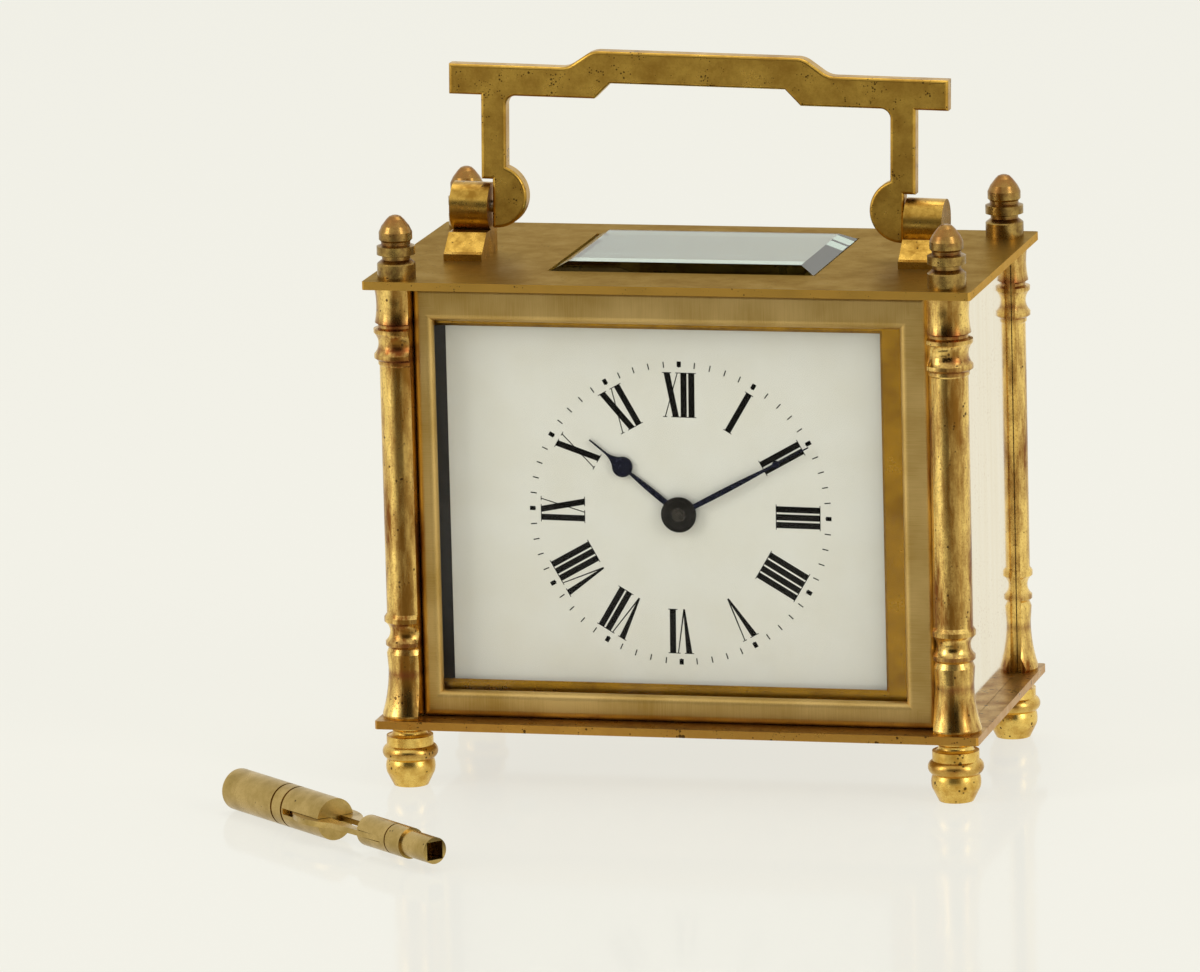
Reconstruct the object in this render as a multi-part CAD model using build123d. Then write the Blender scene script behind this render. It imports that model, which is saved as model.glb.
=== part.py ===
from build123d import *
from math import atan2, cos, degrees, hypot, pi, radians, sin, sqrt
import os

# A brass table clock of carriage form, wider than it is tall, with its winding key beside it.
# Millimetres. +X is to the right of the dial, -Y is the front, +Z is up.
# The origin lies on the table, midway between the four feet.

# Case
plate_width = 110.0
plate_depth = 61.9
plate_thick = 1.5
foot_height = 11.0
column_inset_x = 5.13
column_inset_y = 5.15
column_flat = 2.97
shaft_radius = 3.5
ring_radius = 4.4
flare_radius = 4.75
foot_radius = 5.0
finial_radius = 3.43
finial_height = 11.2
stud_radius = 1.2
stud_length = 5.0
seat_gap = 0.05

# Movement plates and pillars
works_x = -0.35
works_plate_thick = 1.8
works_room = 22.0
works_half_width = 40.0
works_height = 59.4
works_headroom = 18.85
pillar_radius = 2.6
pillar_inset = 4.0
pillar_drop = 6.0
pivot_radius = 0.5
arbor_radius = 0.75
pivot_fit = 0.05
minute_post_radius = 0.7

# Front frame, glass, mask and dial. Each rim is measured in from the edge of its own sheet.
frame_proud = 0.1
frame_depth = 3.3
frame_rail = 4.55
frame_rail_shift = -0.95
frame_rail_top = 6.35
frame_rail_bottom = 4.75
frame_round = 1.3
glass_thick = 1.9
glass_lap = 1.2
mask_thick = 0.8
mask_edge_gap = 0.25
mask_left = 2.25
mask_right = 9.35
mask_top = 7.65
mask_bottom = 6.2
mask_bevel = 0.5
dial_set_back = 2.1
dial_thick = 1.1
dial_side_gap = 4.7
dial_top_gap = 6.5
dial_bottom_gap = 4.4
dial_centre_rise = 37.05
dial_foot_radius = 0.9
dial_foot_inset = 10.0
dial_foot_rise = 16.0
motion_room = 4.9

# Side panels and top glass
panel_offset = 1.33
panel_thick = 1.5
panel_edge_inset = 2.3
panel_groove_play = 1.0
top_glass_x = -0.1
top_glass_y = 1.9
top_glass_side_rim = 31.0
top_glass_end_rim = 12.25
top_glass_bevel = 2.8
top_glass_rise = 1.3
top_glass_gap = 0.35
keeper_thick = 0.8
keeper_border = 5.0
keeper_lap = 1.4

# Rear door
door_depth = 2.6
door_proud = 1.4
door_side_gap = 0.5
door_end_gap = 0.3
door_rail = 6.0
door_glass_thick = 1.8
hinge_radius = 0.9
hinge_inset = 1.5
hinge_pin_reach = 4.0
knob_radius = 2.2
knob_length = 4.6
rivet_radius = 1.0

# Handle and its brackets. Heights are counted from the pivot.
pivot_y = 0.2
pivot_rise = 7.7
handle_x = -0.55
handle_slope = 1.2
handle_thick = 3.4
handle_end_gap = 0.8
handle_overhang = 5.9
leg_width = 4.6
bar_under = 20.35
bar_over = 25.85
bar_middle_under = 23.2
bar_middle_over = 29.0
bar_step_x = 16.0
leg_foot = 5.1
lobe_set_in = 2.05
lobe_rise = 2.0
lobe_radius = 5.75
lobe_cut = 0.55
handle_round = 0.6
handle_bend = 1.8
shoulder_bend = 4.0
shoulder_run = 1.45
knuckle_gap = 0.35
knuckle_radius = 4.3
knuckle_width = 7.0
bracket_front_y = -8.9
bracket_rear_y = 3.0
bracket_lip = 1.2
bracket_step_y = -4.6
bracket_step = 4.45
pin_radius = 1.1
pin_fit = 0.05
pin_wall = 1.5

# Going train: teeth and modules, from the barrel to the escapement
barrel_teeth = 72
second_leaves = 12
barrel_module = 0.56
second_teeth = 70
centre_leaves = 10
second_module = 0.42
centre_teeth = 64
third_leaves = 8
centre_module = 0.37
third_teeth = 60
contrate_leaves = 8
third_module = 0.35
contrate_teeth = 60
escape_leaves = 6
contrate_module = 0.25
cannon_teeth = 12
minute_teeth = 36
motion_module = 0.35
minute_leaves = 10
hour_teeth = 40
wheel_thick = 0.8
wheel_rim = 1.5
barrel_left = 20.6
barrel_drop = 11.1
contrate_right = 7.85
contrate_drop = 11.45
minute_wheel_angle = -40.0

# Depth of each layer of the train, counted back from the inside of the front plate
second_layer = 1.1
centre_layer = 3.9
third_layer = 6.5
barrel_layer = 9.5
contrate_layer = 15.1
drum_length = 8.6
drum_radius = 17.5
drum_wall = 0.9
spring_thick = 0.45
spring_turns = 9
great_wheel_thick = 1.6
barrel_arbor_radius = 1.5
square_side = 3.0
square_door_gap = 4.6
square_base = 1.9
set_arbor_radius = 0.6
centre_tube_radius = 1.1
set_square_side = 1.7
ratchet_teeth = 20
ratchet_radius = 6.5
ratchet_tooth = 1.1
ratchet_thick = 1.2
ratchet_hub = 1.86
click_reach = 9.5
click_hub = 1.9
click_pin_radius = 0.8

# Platform escapement
platform_thick = 1.2
platform_half_width = 15.0
escape_teeth = 15
escape_radius = 2.9
escape_wheel_thick = 0.5
escape_rise = 1.9
escape_arbor_radius = 0.4
lever_distance = 4.2
balance_distance = 9.0
balance_radius = 7.0
balance_rim = 0.9
balance_rise = 5.4
balance_thick = 1.0
balance_staff_radius = 0.3
roller_pin_reach = 1.2
lever_thick = 0.5
pallet_gap = 0.1
bridge_rise = 3.0
bridge_thick = 0.8
cock_rise = 9.6
cock_thick = 1.2
cock_width = 3.2
cock_end_radius = 3.2
cock_foot_gap = 3.0
cock_foot_width = 5.2
hairspring_turns = 7
hairspring_pitch = 0.42
hairspring_inner = 1.1
hairspring_thick = 0.12
contrate_tooth_length = 1.4
contrate_engage = 0.45

# Hands
hand_thick = 0.35
hour_hand_length = 20.8
hour_hand_angle = 309.0
hour_bulb_radius = 1.85
hour_bulb_reach = 13.2
minute_hand_length = 26.9
minute_spade_radius = 0.65
minute_spade_reach = 20.2
hand_leaf_width = 1.0
hand_waist_width = 0.32
minute_hand_angle = 62.0
hour_hand_gap = 0.35
minute_hand_gap = 0.95
hour_pipe_radius = 2.0
hour_pipe_bore = 1.3
hour_hub_radius = 3.0
minute_hub_radius = 2.2
motion_gap = 0.3
cannon_length = 1.6
minute_pinion_length = 2.4
cannon_pipe_radius = 1.2
collet_radius = 3.2
collet_thick = 0.35

# Winding key, lying in front of the clock
key_x = -75.4
key_y = -49.3
key_heading = -41.8
key_radius = 3.75
key_length = 62.6
key_body_length = 31.3
key_neck_start = 42.2
key_neck_length = 13.1
key_neck_groove = 50.7
key_neck_radius = 2.75
key_tube_radius = 2.35
key_wing_start = 20.0
key_wing_end = 49.3
key_wing_half = 5.1
key_wing_thick = 1.0
key_socket_depth = 8.0
key_socket_gap = 0.1

# Fastenings
screw_radius = 0.9
small_screw_radius = 0.55
screw_head_radius = 1.6
screw_head_height = 0.9
screw_bite = 3.0

column_x = plate_width / 2 - column_inset_x
column_y = plate_depth / 2 - column_inset_y
column_height = seat_gap + works_height + works_headroom
base_top = foot_height + plate_thick
roof_under = base_top + column_height
roof_top = roof_under + plate_thick
frame_half_width = column_x - column_flat - seat_gap
frame_front_y = -column_y - frame_proud
frame_rear_y = frame_front_y + frame_depth
frame_bottom = base_top + seat_gap
frame_top = roof_under - seat_gap
dial_front_y = frame_rear_y + dial_set_back
dial_rear_y = dial_front_y + dial_thick
works_front_y = dial_rear_y + motion_room
inside_front_y = works_front_y + works_plate_thick
inside_rear_y = inside_front_y + works_room
works_rear_y = inside_rear_y + works_plate_thick
works_bottom = base_top + seat_gap
works_top = works_bottom + works_height
platform_top = works_top + platform_thick
pillar_x = works_half_width - pillar_inset
dial_z = works_bottom + dial_centre_rise
barrel_x = works_x - barrel_left
barrel_z = dial_z - barrel_drop
contrate_x = works_x + contrate_right
contrate_z = works_top - contrate_drop
door_rear_y = column_y + door_proud
square_length = door_rear_y - door_depth - square_door_gap - works_rear_y - square_base
pivot_z = roof_top + pivot_rise
top_glass_width = plate_width - 2 * top_glass_side_rim
top_glass_depth = plate_depth - 2 * top_glass_end_rim
handle_half_length = column_x - finial_radius - handle_end_gap
leg_outer_x = handle_half_length - handle_overhang
leg_inner_x = leg_outer_x - leg_width
lobe_flat_x = leg_outer_x - lobe_set_in
lobe_x = lobe_flat_x - lobe_cut
knuckle_inner_x = lobe_flat_x + knuckle_gap
panel_outer_x = column_x + panel_offset
panel_reach = column_y - panel_edge_inset


def block(x0, x1, y0, y1, z0, z1):
    place = Pos((x0 + x1) / 2, (y0 + y1) / 2, (z0 + z1) / 2)
    return place * Box(x1 - x0, y1 - y0, z1 - z0)


def rod(x, z, y0, y1, radius):
    return Pos(x, (y0 + y1) / 2, z) * Rot(90, 0, 0) * Cylinder(radius, y1 - y0)


def post(x, y, z0, z1, radius):
    return Pos(x, y, (z0 + z1) / 2) * Cylinder(radius, z1 - z0)


def turned(*edges):
    """A solid of revolution about Z from the outline of its right half."""
    return revolve(make_face(Plane.XZ * Wire(edges)), Axis.Z)


def slab(sketch, y0, y1):
    """A sketch drawn in X and Z, thickened from y0 to y1."""
    return Pos(0, y1, 0) * Rot(90, 0, 0) * extrude(sketch, y1 - y0)


def polar(radius, angle):
    return (radius * cos(angle), radius * sin(angle))


def toothed(teeth, module, share, addendum=1.0, dedendum=1.25):
    """The face of a wheel or pinion, with a tooth centred on +X."""
    pitch = 2 * pi / teeth
    root_radius = module * (teeth / 2 - dedendum)
    tip_radius = module * (teeth / 2 + addendum)
    points = []
    for i in range(teeth):
        middle = i * pitch
        points.append(polar(root_radius, middle - 0.62 * share * pitch))
        points.append(polar(tip_radius, middle - 0.24 * share * pitch))
        points.append(polar(tip_radius, middle + 0.24 * share * pitch))
        points.append(polar(root_radius, middle + 0.62 * share * pitch))
    return make_face(Polyline(*points, close=True))


def spin(x, z, angle, sketch, y0, y1):
    """A wheel on an arbor along Y, turned by angle degrees in the XZ plane."""
    return Pos(x, y1, z) * Rot(90, 0, 0) * Rot(0, 0, angle) * extrude(sketch, y1 - y0)


def wheel(x, z, angle, teeth, module, y0, y1, hub, spokes=4):
    """A crossed-out wheel: rim, teeth, arms and hub."""
    rim_inner = module * (teeth / 2 - 1.25) - wheel_rim
    face = toothed(teeth, module, 0.46)
    window = Circle(rim_inner) - Circle(hub)
    for i in range(spokes):
        arm = Pos(rim_inner / 2, 0) * Rectangle(rim_inner, 1.3)
        window -= Rot(0, 0, i * 360 / spokes) * arm
    return spin(x, z, angle, face - window, y0, y1)


def pinion(x, z, angle, leaves, module, y0, y1):
    return spin(x, z, angle, toothed(leaves, module, 0.36, 0.8), y0, y1)


def arbor(x, z, y0, y1, radius):
    """A shaft between the movement plates, with a thinner pivot in each."""
    body = rod(x, z, y0, y1, radius)
    front = rod(x, z, y0 - works_plate_thick, y0, pivot_radius)
    rear = rod(x, z, y1, y1 + works_plate_thick, pivot_radius)
    return body + front + rear


def meet(ax, az, a_reach, bx, bz, b_reach, side):
    """The point at a_reach from A and b_reach from B, on the chosen side of the line AB."""
    dx = bx - ax
    dz = bz - az
    span = hypot(dx, dz)
    along = (a_reach ** 2 - b_reach ** 2 + span ** 2) / (2 * span)
    off = side * sqrt(a_reach ** 2 - along ** 2)
    x = ax + (dx * along - dz * off) / span
    z = az + (dz * along + dx * off) / span
    return x, z


def heading(ax, az, bx, bz):
    return degrees(atan2(bz - az, bx - ax))


second_reach = barrel_module * (barrel_teeth + second_leaves) / 2
centre_reach = second_module * (second_teeth + centre_leaves) / 2
third_reach = centre_module * (centre_teeth + third_leaves) / 2
contrate_reach = third_module * (third_teeth + contrate_leaves) / 2
minute_reach = motion_module * (cannon_teeth + minute_teeth) / 2
hour_module = 2 * minute_reach / (minute_leaves + hour_teeth)
second_x, second_z = meet(barrel_x, barrel_z, second_reach, works_x, dial_z, centre_reach, -1)
third_x, third_z = meet(works_x, dial_z, third_reach, contrate_x, contrate_z, contrate_reach, -1)
minute_x = works_x + minute_reach * cos(radians(minute_wheel_angle))
minute_z = dial_z + minute_reach * sin(radians(minute_wheel_angle))
escape_x = contrate_x
contrate_face_y = inside_front_y + contrate_layer
contrate_tip_y = contrate_face_y - contrate_tooth_length
escape_radius_pinion = contrate_module * escape_leaves / 2
escape_y = contrate_tip_y + contrate_engage - escape_radius_pinion - 0.8 * contrate_module
lever_x = escape_x - lever_distance
balance_x = escape_x - balance_distance


def case_plate(z0):
    plate = block(-plate_width / 2, plate_width / 2, -plate_depth / 2, plate_depth / 2,
                  z0, z0 + plate_thick)
    plate = chamfer(plate.edges().filter_by(Axis.Z), 0.4)
    for x in (-column_x, column_x):
        for y in (-column_y, column_y):
            plate -= post(x, y, z0 - 1, z0 + plate_thick + 1, stud_radius + seat_gap)
    return plate


def door_hinge_x():
    return works_x - frame_half_width + door_side_gap + hinge_inset


def door_hinge_y():
    return door_rear_y - door_depth / 2


def bottom_plate():
    plate = case_plate(foot_height)
    for x in (-pillar_x, pillar_x):
        for y in movement_screw_rows():
            plate -= post(works_x + x, y, 0, base_top + 1, screw_radius + seat_gap)
    return plate - post(door_hinge_x(), door_hinge_y(), 0, base_top + 1, hinge_radius + pin_fit)


def top_plate():
    plate = case_plate(roof_under)
    opening = Pos(top_glass_x, top_glass_y, roof_under) * Box(
        top_glass_width + 2 * top_glass_gap, top_glass_depth + 2 * top_glass_gap, 4 * plate_thick)
    plate -= opening
    for x in bracket_screw_columns():
        plate -= post(x, bracket_screw_y(), roof_under - 1, roof_top + 1, screw_radius + seat_gap)
    for x, y in keeper_screws():
        plate -= post(x, y, roof_under - 1, roof_top - 0.4, screw_radius + seat_gap)
    return plate - post(door_hinge_x(), door_hinge_y(), roof_under - 1, roof_top + 1,
                        hinge_radius + pin_fit)


def column_outline():
    """The right half of a column, drawn downwards from the underside of the roof."""
    top = column_height
    lip = shaft_radius * 1.18
    neck = shaft_radius * 1.03
    bead = shaft_radius * 1.06
    hoop = shaft_radius * 1.14
    swell = shaft_radius * 1.1
    p = [
        (0, top), (lip, top), (shaft_radius * 1.08, top - 3.6), (lip, top - 6.5),
        (neck, top - 6.8), (neck, top - 7.3), (ring_radius, top - 7.6), (ring_radius, top - 8.3),
        (neck, top - 10.5), (ring_radius, top - 12.2), (ring_radius, top - 12.9),
        (bead, top - 13.4), (bead, top - 14.0), (shaft_radius, top - 14.3), (shaft_radius, 19.0),
        (hoop, 18.3), (hoop, 17.5), (shaft_radius * 0.87, 15.3), (swell, 13.9), (swell, 13.2),
        (shaft_radius * 0.95, 12.7), (bead, 11.7), (shaft_radius, 8.9), (swell, 4.5),
        (flare_radius, 0.7), (flare_radius, 0.4), (flare_radius * 0.97, 0), (0, 0),
    ]
    return [
        Line(p[0], p[1]), ThreePointArc(p[1], p[2], p[3]), Line(p[3], p[4]), Line(p[4], p[5]),
        Line(p[5], p[6]), Line(p[6], p[7]), ThreePointArc(p[7], p[8], p[9]), Line(p[9], p[10]),
        Line(p[10], p[11]), Line(p[11], p[12]), Line(p[12], p[13]), Line(p[13], p[14]),
        Line(p[14], p[15]), Line(p[15], p[16]), ThreePointArc(p[16], p[17], p[18]),
        Line(p[18], p[19]), Line(p[19], p[20]), Line(p[20], p[21]), Line(p[21], p[22]),
        ThreePointArc(p[22], p[23], p[24]), Line(p[24], p[25]), Line(p[25], p[26]),
        Line(p[26], p[27]), Line(p[27], p[0]),
    ]


def column(side_x, side_y):
    """A turned pillar, filed flat where the front or the door meets it and grooved for a panel."""
    body = Pos(side_x * column_x, side_y * column_y, base_top) * turned(*column_outline())
    flat_x = works_x + side_x * (frame_half_width + seat_gap)
    inner = sorted((flat_x, flat_x - side_x * 2 * flare_radius))
    body -= block(inner[0], inner[1], -plate_depth, plate_depth, 0, roof_top)
    flat_y = side_y * (column_y - shaft_radius)
    inner = sorted((flat_y, flat_y - side_y * 2 * flare_radius))
    body -= block(-plate_width, plate_width, inner[0], inner[1], 0, roof_top)
    groove_x = sorted((side_x * (panel_outer_x - panel_thick - seat_gap),
                       side_x * (panel_outer_x + panel_groove_play)))
    groove_y = sorted((side_y * (panel_reach + seat_gap + 0.4), 0))
    body -= block(groove_x[0], groove_x[1], groove_y[0], groove_y[1], 0, roof_top)
    for z0, z1 in ((base_top - 1, base_top + stud_length), (roof_under - stud_length, roof_top)):
        body -= post(side_x * column_x, side_y * column_y, z0, z1, stud_radius + seat_gap)
    return body


def finial(side_x, side_y):
    """A turned cap nut whose stud passes through the roof into the column."""
    h = finial_height
    r = finial_radius
    p = [(0, 0), (r, 0), (r, 2.5), (r * 0.96, 2.7), (r * 0.73, 3.3), (r * 0.73, 3.9),
         (r, 4.2), (r, 5.7), (r * 0.76, 6.0), (r * 0.76, 6.5), (r * 0.87, 6.9),
         (r * 0.87, 8.2), (r * 0.72, 9.3), (r * 0.45, h - 0.7), (r * 0.3, h - 0.2),
         (r * 0.14, h), (0, h)]
    face = make_face(Plane.XZ * Polyline(*p, close=True))
    body = Pos(side_x * column_x, side_y * column_y, roof_top) * revolve(face, Axis.Z)
    stud = post(side_x * column_x, side_y * column_y,
                roof_under - stud_length + 0.5, roof_top, stud_radius)
    return body + stud


def foot(side_x, side_y):
    """A turned foot: flare, neck, collar, bulging ring and a tapered base."""
    h = foot_height
    r = foot_radius
    p = [(0, h), (r * 0.84, h), (r * 0.82, h - 0.4), (r * 0.62, h - 1.0), (r * 0.84, h - 1.9),
         (r * 0.84, h - 3.6), (r * 0.9, h - 3.8), (r, h - 4.8), (r * 0.9, h - 5.9),
         (r * 0.84, h - 6.2), (r * 0.89, h - 7.6), (r * 0.86, h - 8.6), (r * 0.66, 0.4),
         (r * 0.62, 0), (0, 0)]
    edges = [
        Line(p[0], p[1]), Line(p[1], p[2]), ThreePointArc(p[2], p[3], p[4]), Line(p[4], p[5]),
        Line(p[5], p[6]), ThreePointArc(p[6], p[7], p[8]), Line(p[8], p[9]),
        ThreePointArc(p[9], p[10], p[11]), Line(p[11], p[12]), Line(p[12], p[13]),
        Line(p[13], p[14]), Line(p[14], p[0]),
    ]
    body = Pos(side_x * column_x, side_y * column_y, 0) * turned(*edges)
    stud = post(side_x * column_x, side_y * column_y, foot_height,
                base_top + stud_length - 0.5, stud_radius)
    return body + stud


def side_panel(side_x):
    """A plain brass sheet from plate to plate, its two edges held in the columns' grooves."""
    x = sorted((side_x * (panel_outer_x - panel_thick), side_x * panel_outer_x))
    return block(x[0], x[1], -panel_reach, panel_reach, base_top + seat_gap,
                 roof_under - seat_gap)


def sheet_with_window(x0, x1, y0, y1, z0, z1, left, right, bottom, top):
    """A flat sheet with a window. The last four sizes are the widths of its rims."""
    window = block(x0 + left, x1 - right, y0 - 1, y1 + 1, z0 + bottom, z1 - top)
    return block(x0, x1, y0, y1, z0, z1) - window


def front_frame():
    """The brass surround of the dial, rounded to the front and rebated behind for its glass."""
    frame = sheet_with_window(
        works_x - frame_half_width, works_x + frame_half_width, frame_front_y, frame_rear_y,
        frame_bottom, frame_top, frame_rail + frame_rail_shift, frame_rail - frame_rail_shift,
        frame_rail_bottom, frame_rail_top)
    frame = fillet(frame.faces().sort_by(Axis.Y)[0].edges(), frame_round)
    frame -= front_pane(seat_gap, glass_thick + seat_gap)
    for x, z in mask_screw_places():
        frame -= rod(x, z, frame_rear_y - 1.6, frame_rear_y + 1, small_screw_radius + seat_gap)
    return frame


def front_pane(margin, thick):
    """The block of the front glass, grown by margin for the rebate that holds it."""
    left = works_x - frame_half_width + frame_rail + frame_rail_shift - glass_lap
    right = works_x + frame_half_width - frame_rail + frame_rail_shift + glass_lap
    return block(left - margin, right + margin, frame_rear_y - thick, frame_rear_y + margin,
                 frame_bottom + frame_rail_bottom - glass_lap - margin,
                 frame_top - frame_rail_top + glass_lap + margin)


def front_glass():
    return front_pane(0, glass_thick)


def mask_screw_places():
    """Just outside the four corners of the glass."""
    pane = front_pane(0, glass_thick).bounding_box()
    return [(x, z) for x in (pane.min.X - 1.2, pane.max.X + 1.2)
            for z in (pane.min.Z - 1.2, pane.max.Z + 1.2)]


def mask():
    """The gilt sheet between the glass and the dial. Its window stands left of the frame's."""
    front = frame_rear_y + seat_gap
    half = frame_half_width - mask_edge_gap
    sheet = sheet_with_window(works_x - half, works_x + half, front, front + mask_thick,
                              frame_bottom, frame_top, mask_left, mask_right, mask_bottom, mask_top)
    rim = sheet.faces().sort_by(Axis.Y)[0].inner_wires()[0].edges()
    sheet = chamfer(rim, mask_bevel)
    for x, z in mask_screw_places():
        sheet -= rod(x, z, front - 1, front + 2, small_screw_radius + seat_gap)
    return sheet


def mask_screws():
    front = frame_rear_y + seat_gap + mask_thick
    screws = []
    for x, z in mask_screw_places():
        shank = rod(x, z, frame_rear_y - 1.4, front, small_screw_radius)
        screws.append(shank + rod(x, z, front, front + 0.5, screw_radius))
    return screws


def dial():
    """The enamelled plate with its hole for the hour pipe and the four feet behind it."""
    half = frame_half_width - dial_side_gap
    plate = block(works_x - half, works_x + half, dial_front_y, dial_rear_y,
                  base_top + dial_bottom_gap, roof_under - dial_top_gap)
    for x, z in dial_foot_places():
        plate += rod(x, z, dial_rear_y, inside_front_y - 0.2, dial_foot_radius)
    return plate - rod(works_x, dial_z, dial_front_y - 1, dial_rear_y + 1, hour_pipe_radius + 0.5)


def dial_foot_places():
    x_reach = works_half_width - dial_foot_inset
    return [(works_x + i * x_reach, dial_z + j * dial_foot_rise) for i in (-1, 1) for j in (-1, 1)]


def top_glass():
    """Bevelled glass that stands a little proud of the roof."""
    bottom = roof_under
    edge_top = roof_top - 0.1
    lower = Pos(top_glass_x, top_glass_y, (bottom + edge_top) / 2) * Box(
        top_glass_width, top_glass_depth, edge_top - bottom)
    base = Plane.XY.offset(edge_top) * Pos(top_glass_x, top_glass_y) * Rectangle(
        top_glass_width, top_glass_depth)
    crown = Plane.XY.offset(roof_top + top_glass_rise) * Pos(top_glass_x, top_glass_y) * Rectangle(
        top_glass_width - 2 * top_glass_bevel, top_glass_depth - 2 * top_glass_bevel)
    return lower + loft([base, crown])


def keeper_screws():
    x_reach = top_glass_width / 2 + keeper_border - 2.2
    y_reach = top_glass_depth / 2 - 4
    return [(top_glass_x + i * x_reach, top_glass_y + j * y_reach) for i in (-1, 1) for j in (-1, 1)]


def glass_keeper():
    """The thin brass frame that holds the top glass up from below."""
    z0 = roof_under - seat_gap - keeper_thick
    outer = Pos(top_glass_x, top_glass_y, z0 + keeper_thick / 2) * Box(
        top_glass_width + 2 * keeper_border, top_glass_depth + 2 * keeper_lap, keeper_thick)
    inner = Pos(top_glass_x, top_glass_y, z0) * Box(
        top_glass_width - 2 * keeper_lap, top_glass_depth - 2 * keeper_lap, 4 * keeper_thick)
    frame = outer - inner
    for x, y in keeper_screws():
        frame -= post(x, y, z0 - 1, z0 + 2, screw_radius + seat_gap)
    return frame


def keeper_screw_set():
    z0 = roof_under - seat_gap - keeper_thick
    screws = []
    for x, y in keeper_screws():
        shank = post(x, y, z0, roof_top - 0.5, screw_radius)
        screws.append(shank + post(x, y, z0 - screw_head_height, z0, screw_head_radius))
    return screws


def door_frame():
    """The rear door: a brass frame with its hinge edge rounded about the pins."""
    x0 = works_x - frame_half_width + door_side_gap
    x1 = works_x + frame_half_width - door_side_gap
    z0 = base_top + door_end_gap
    z1 = roof_under - door_end_gap
    front = door_rear_y - door_depth
    frame = block(x0 + hinge_inset, x1, front, door_rear_y, z0, z1)
    frame += post(door_hinge_x(), door_hinge_y(), z0, z1, door_depth / 2)
    middle_x = (x0 + x1) / 2
    middle_z = (z0 + z1) / 2
    window_width = x1 - x0 - 2 * door_rail
    window_height = z1 - z0 - 2 * door_rail
    frame -= Pos(middle_x, door_rear_y, middle_z) * Box(
        window_width, 4 * door_depth, window_height)
    rebate = Pos(middle_x, front, middle_z) * Box(
        window_width + 2 * glass_lap, 2 * (door_glass_thick + seat_gap),
        window_height + 2 * glass_lap)
    frame -= rebate
    for low, high in ((z0 - 1, z0 + hinge_pin_reach), (z1 - hinge_pin_reach, z1 + 1)):
        frame -= post(door_hinge_x(), door_hinge_y(), low, high, hinge_radius + pin_fit)
    knob_x = x1 - door_rail / 2
    return frame - rod(knob_x, middle_z, front - 1, door_rear_y + 1, rivet_radius + seat_gap)


def door_glass():
    x0 = works_x - frame_half_width + door_side_gap + door_rail - glass_lap + seat_gap
    x1 = works_x + frame_half_width - door_side_gap - door_rail + glass_lap - seat_gap
    front = door_rear_y - door_depth
    return block(x0, x1, front, front + door_glass_thick,
                 base_top + door_end_gap + door_rail - glass_lap + seat_gap,
                 roof_under - door_end_gap - door_rail + glass_lap - seat_gap)


def door_knob():
    """A small turned knob riveted through the free rail of the door."""
    x = works_x + frame_half_width - door_side_gap - door_rail / 2
    z = (base_top + roof_under) / 2
    r = knob_radius
    n = knob_length
    shape = turned(Line((0, 0), (r * 0.8, 0)), Line((r * 0.8, 0), (r * 0.5, 0.9)),
                   Line((r * 0.5, 0.9), (r * 0.5, n * 0.45)),
                   ThreePointArc((r * 0.5, n * 0.45), (r, n * 0.72), (r * 0.45, n)),
                   Line((r * 0.45, n), (0, n)), Line((0, n), (0, 0)))
    knob = Pos(x, door_rear_y, z) * Rot(-90, 0, 0) * shape
    return knob + rod(x, z, door_rear_y - door_depth, door_rear_y, rivet_radius)


def hinge_pins():
    """Two pins, one in each case plate, on which the rear door turns."""
    x = door_hinge_x()
    y = door_hinge_y()
    lower = post(x, y, foot_height, base_top + hinge_pin_reach, hinge_radius)
    upper = post(x, y, roof_under - hinge_pin_reach, roof_top, hinge_radius)
    return [lower, upper]


def handle_frame():
    """The handle's own place: on its pivot line, which slopes a little down to the right."""
    return Pos(handle_x, pivot_y, pivot_z) * Rot(0, handle_slope, 0)


def handle_side():
    """The right half of the handle's outline, from its middle to the lobe at its foot."""
    step = bar_middle_over - bar_over
    shoulder = bar_step_x + 3.3
    bar = [(0, bar_middle_under), (bar_step_x, bar_middle_under),
           (bar_step_x + bar_middle_under - bar_under, bar_under),
           (handle_half_length, bar_under), (handle_half_length, bar_over),
           (shoulder + shoulder_run * step, bar_over), (shoulder, bar_middle_over),
           (0, bar_middle_over)]
    leg = [(leg_inner_x, bar_under + 1), (leg_inner_x, lobe_rise), (lobe_flat_x, lobe_rise),
           (lobe_flat_x, leg_foot), (leg_outer_x, leg_foot), (leg_outer_x, bar_under + 1)]
    face = make_face(Polyline(*bar, close=True)) + make_face(Polyline(*leg, close=True))
    bends = {(shoulder + shoulder_run * step, bar_over): shoulder_bend,
             (shoulder, bar_middle_over): shoulder_bend, (leg_inner_x, bar_under): handle_bend}
    for spot, radius in bends.items():
        face = fillet(face.vertices().sort_by_distance(Vector(*spot))[0], radius)
    lobe = Pos(lobe_x, lobe_rise) * Circle(lobe_radius)
    trim = Pos(lobe_flat_x + lobe_radius, lobe_rise) * Rectangle(2 * lobe_radius, 4 * lobe_radius)
    return face + (lobe - trim)


def handle():
    """A flat brass handle with a raised grip, two legs and a half-round lobe on each."""
    right = handle_side()
    face = right + mirror(right, Plane.YZ)
    body = Pos(0, handle_thick / 2, 0) * Rot(90, 0, 0) * extrude(face, handle_thick)
    rims = body.faces().filter_by(Axis.Y).edges()
    body = fillet(rims, handle_round)
    bore = Rot(0, 90, 0) * Cylinder(pin_radius + pin_fit, 4 * lobe_x)
    middle = Box(2 * pin_tip_x() - 0.4, 4 * handle_thick, 4 * handle_thick)
    return handle_frame() * (body - (bore - middle))


def pin_tip_x():
    """How far from the middle a pivot pin ends inside its lobe."""
    return lobe_x - lobe_radius + pin_radius + 0.2


def bracket_screw_columns():
    middle = knuckle_inner_x + knuckle_width / 2
    return (handle_x - middle, handle_x + middle)


def bracket_screw_y():
    return (bracket_step_y + bracket_rear_y) / 2


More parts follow.
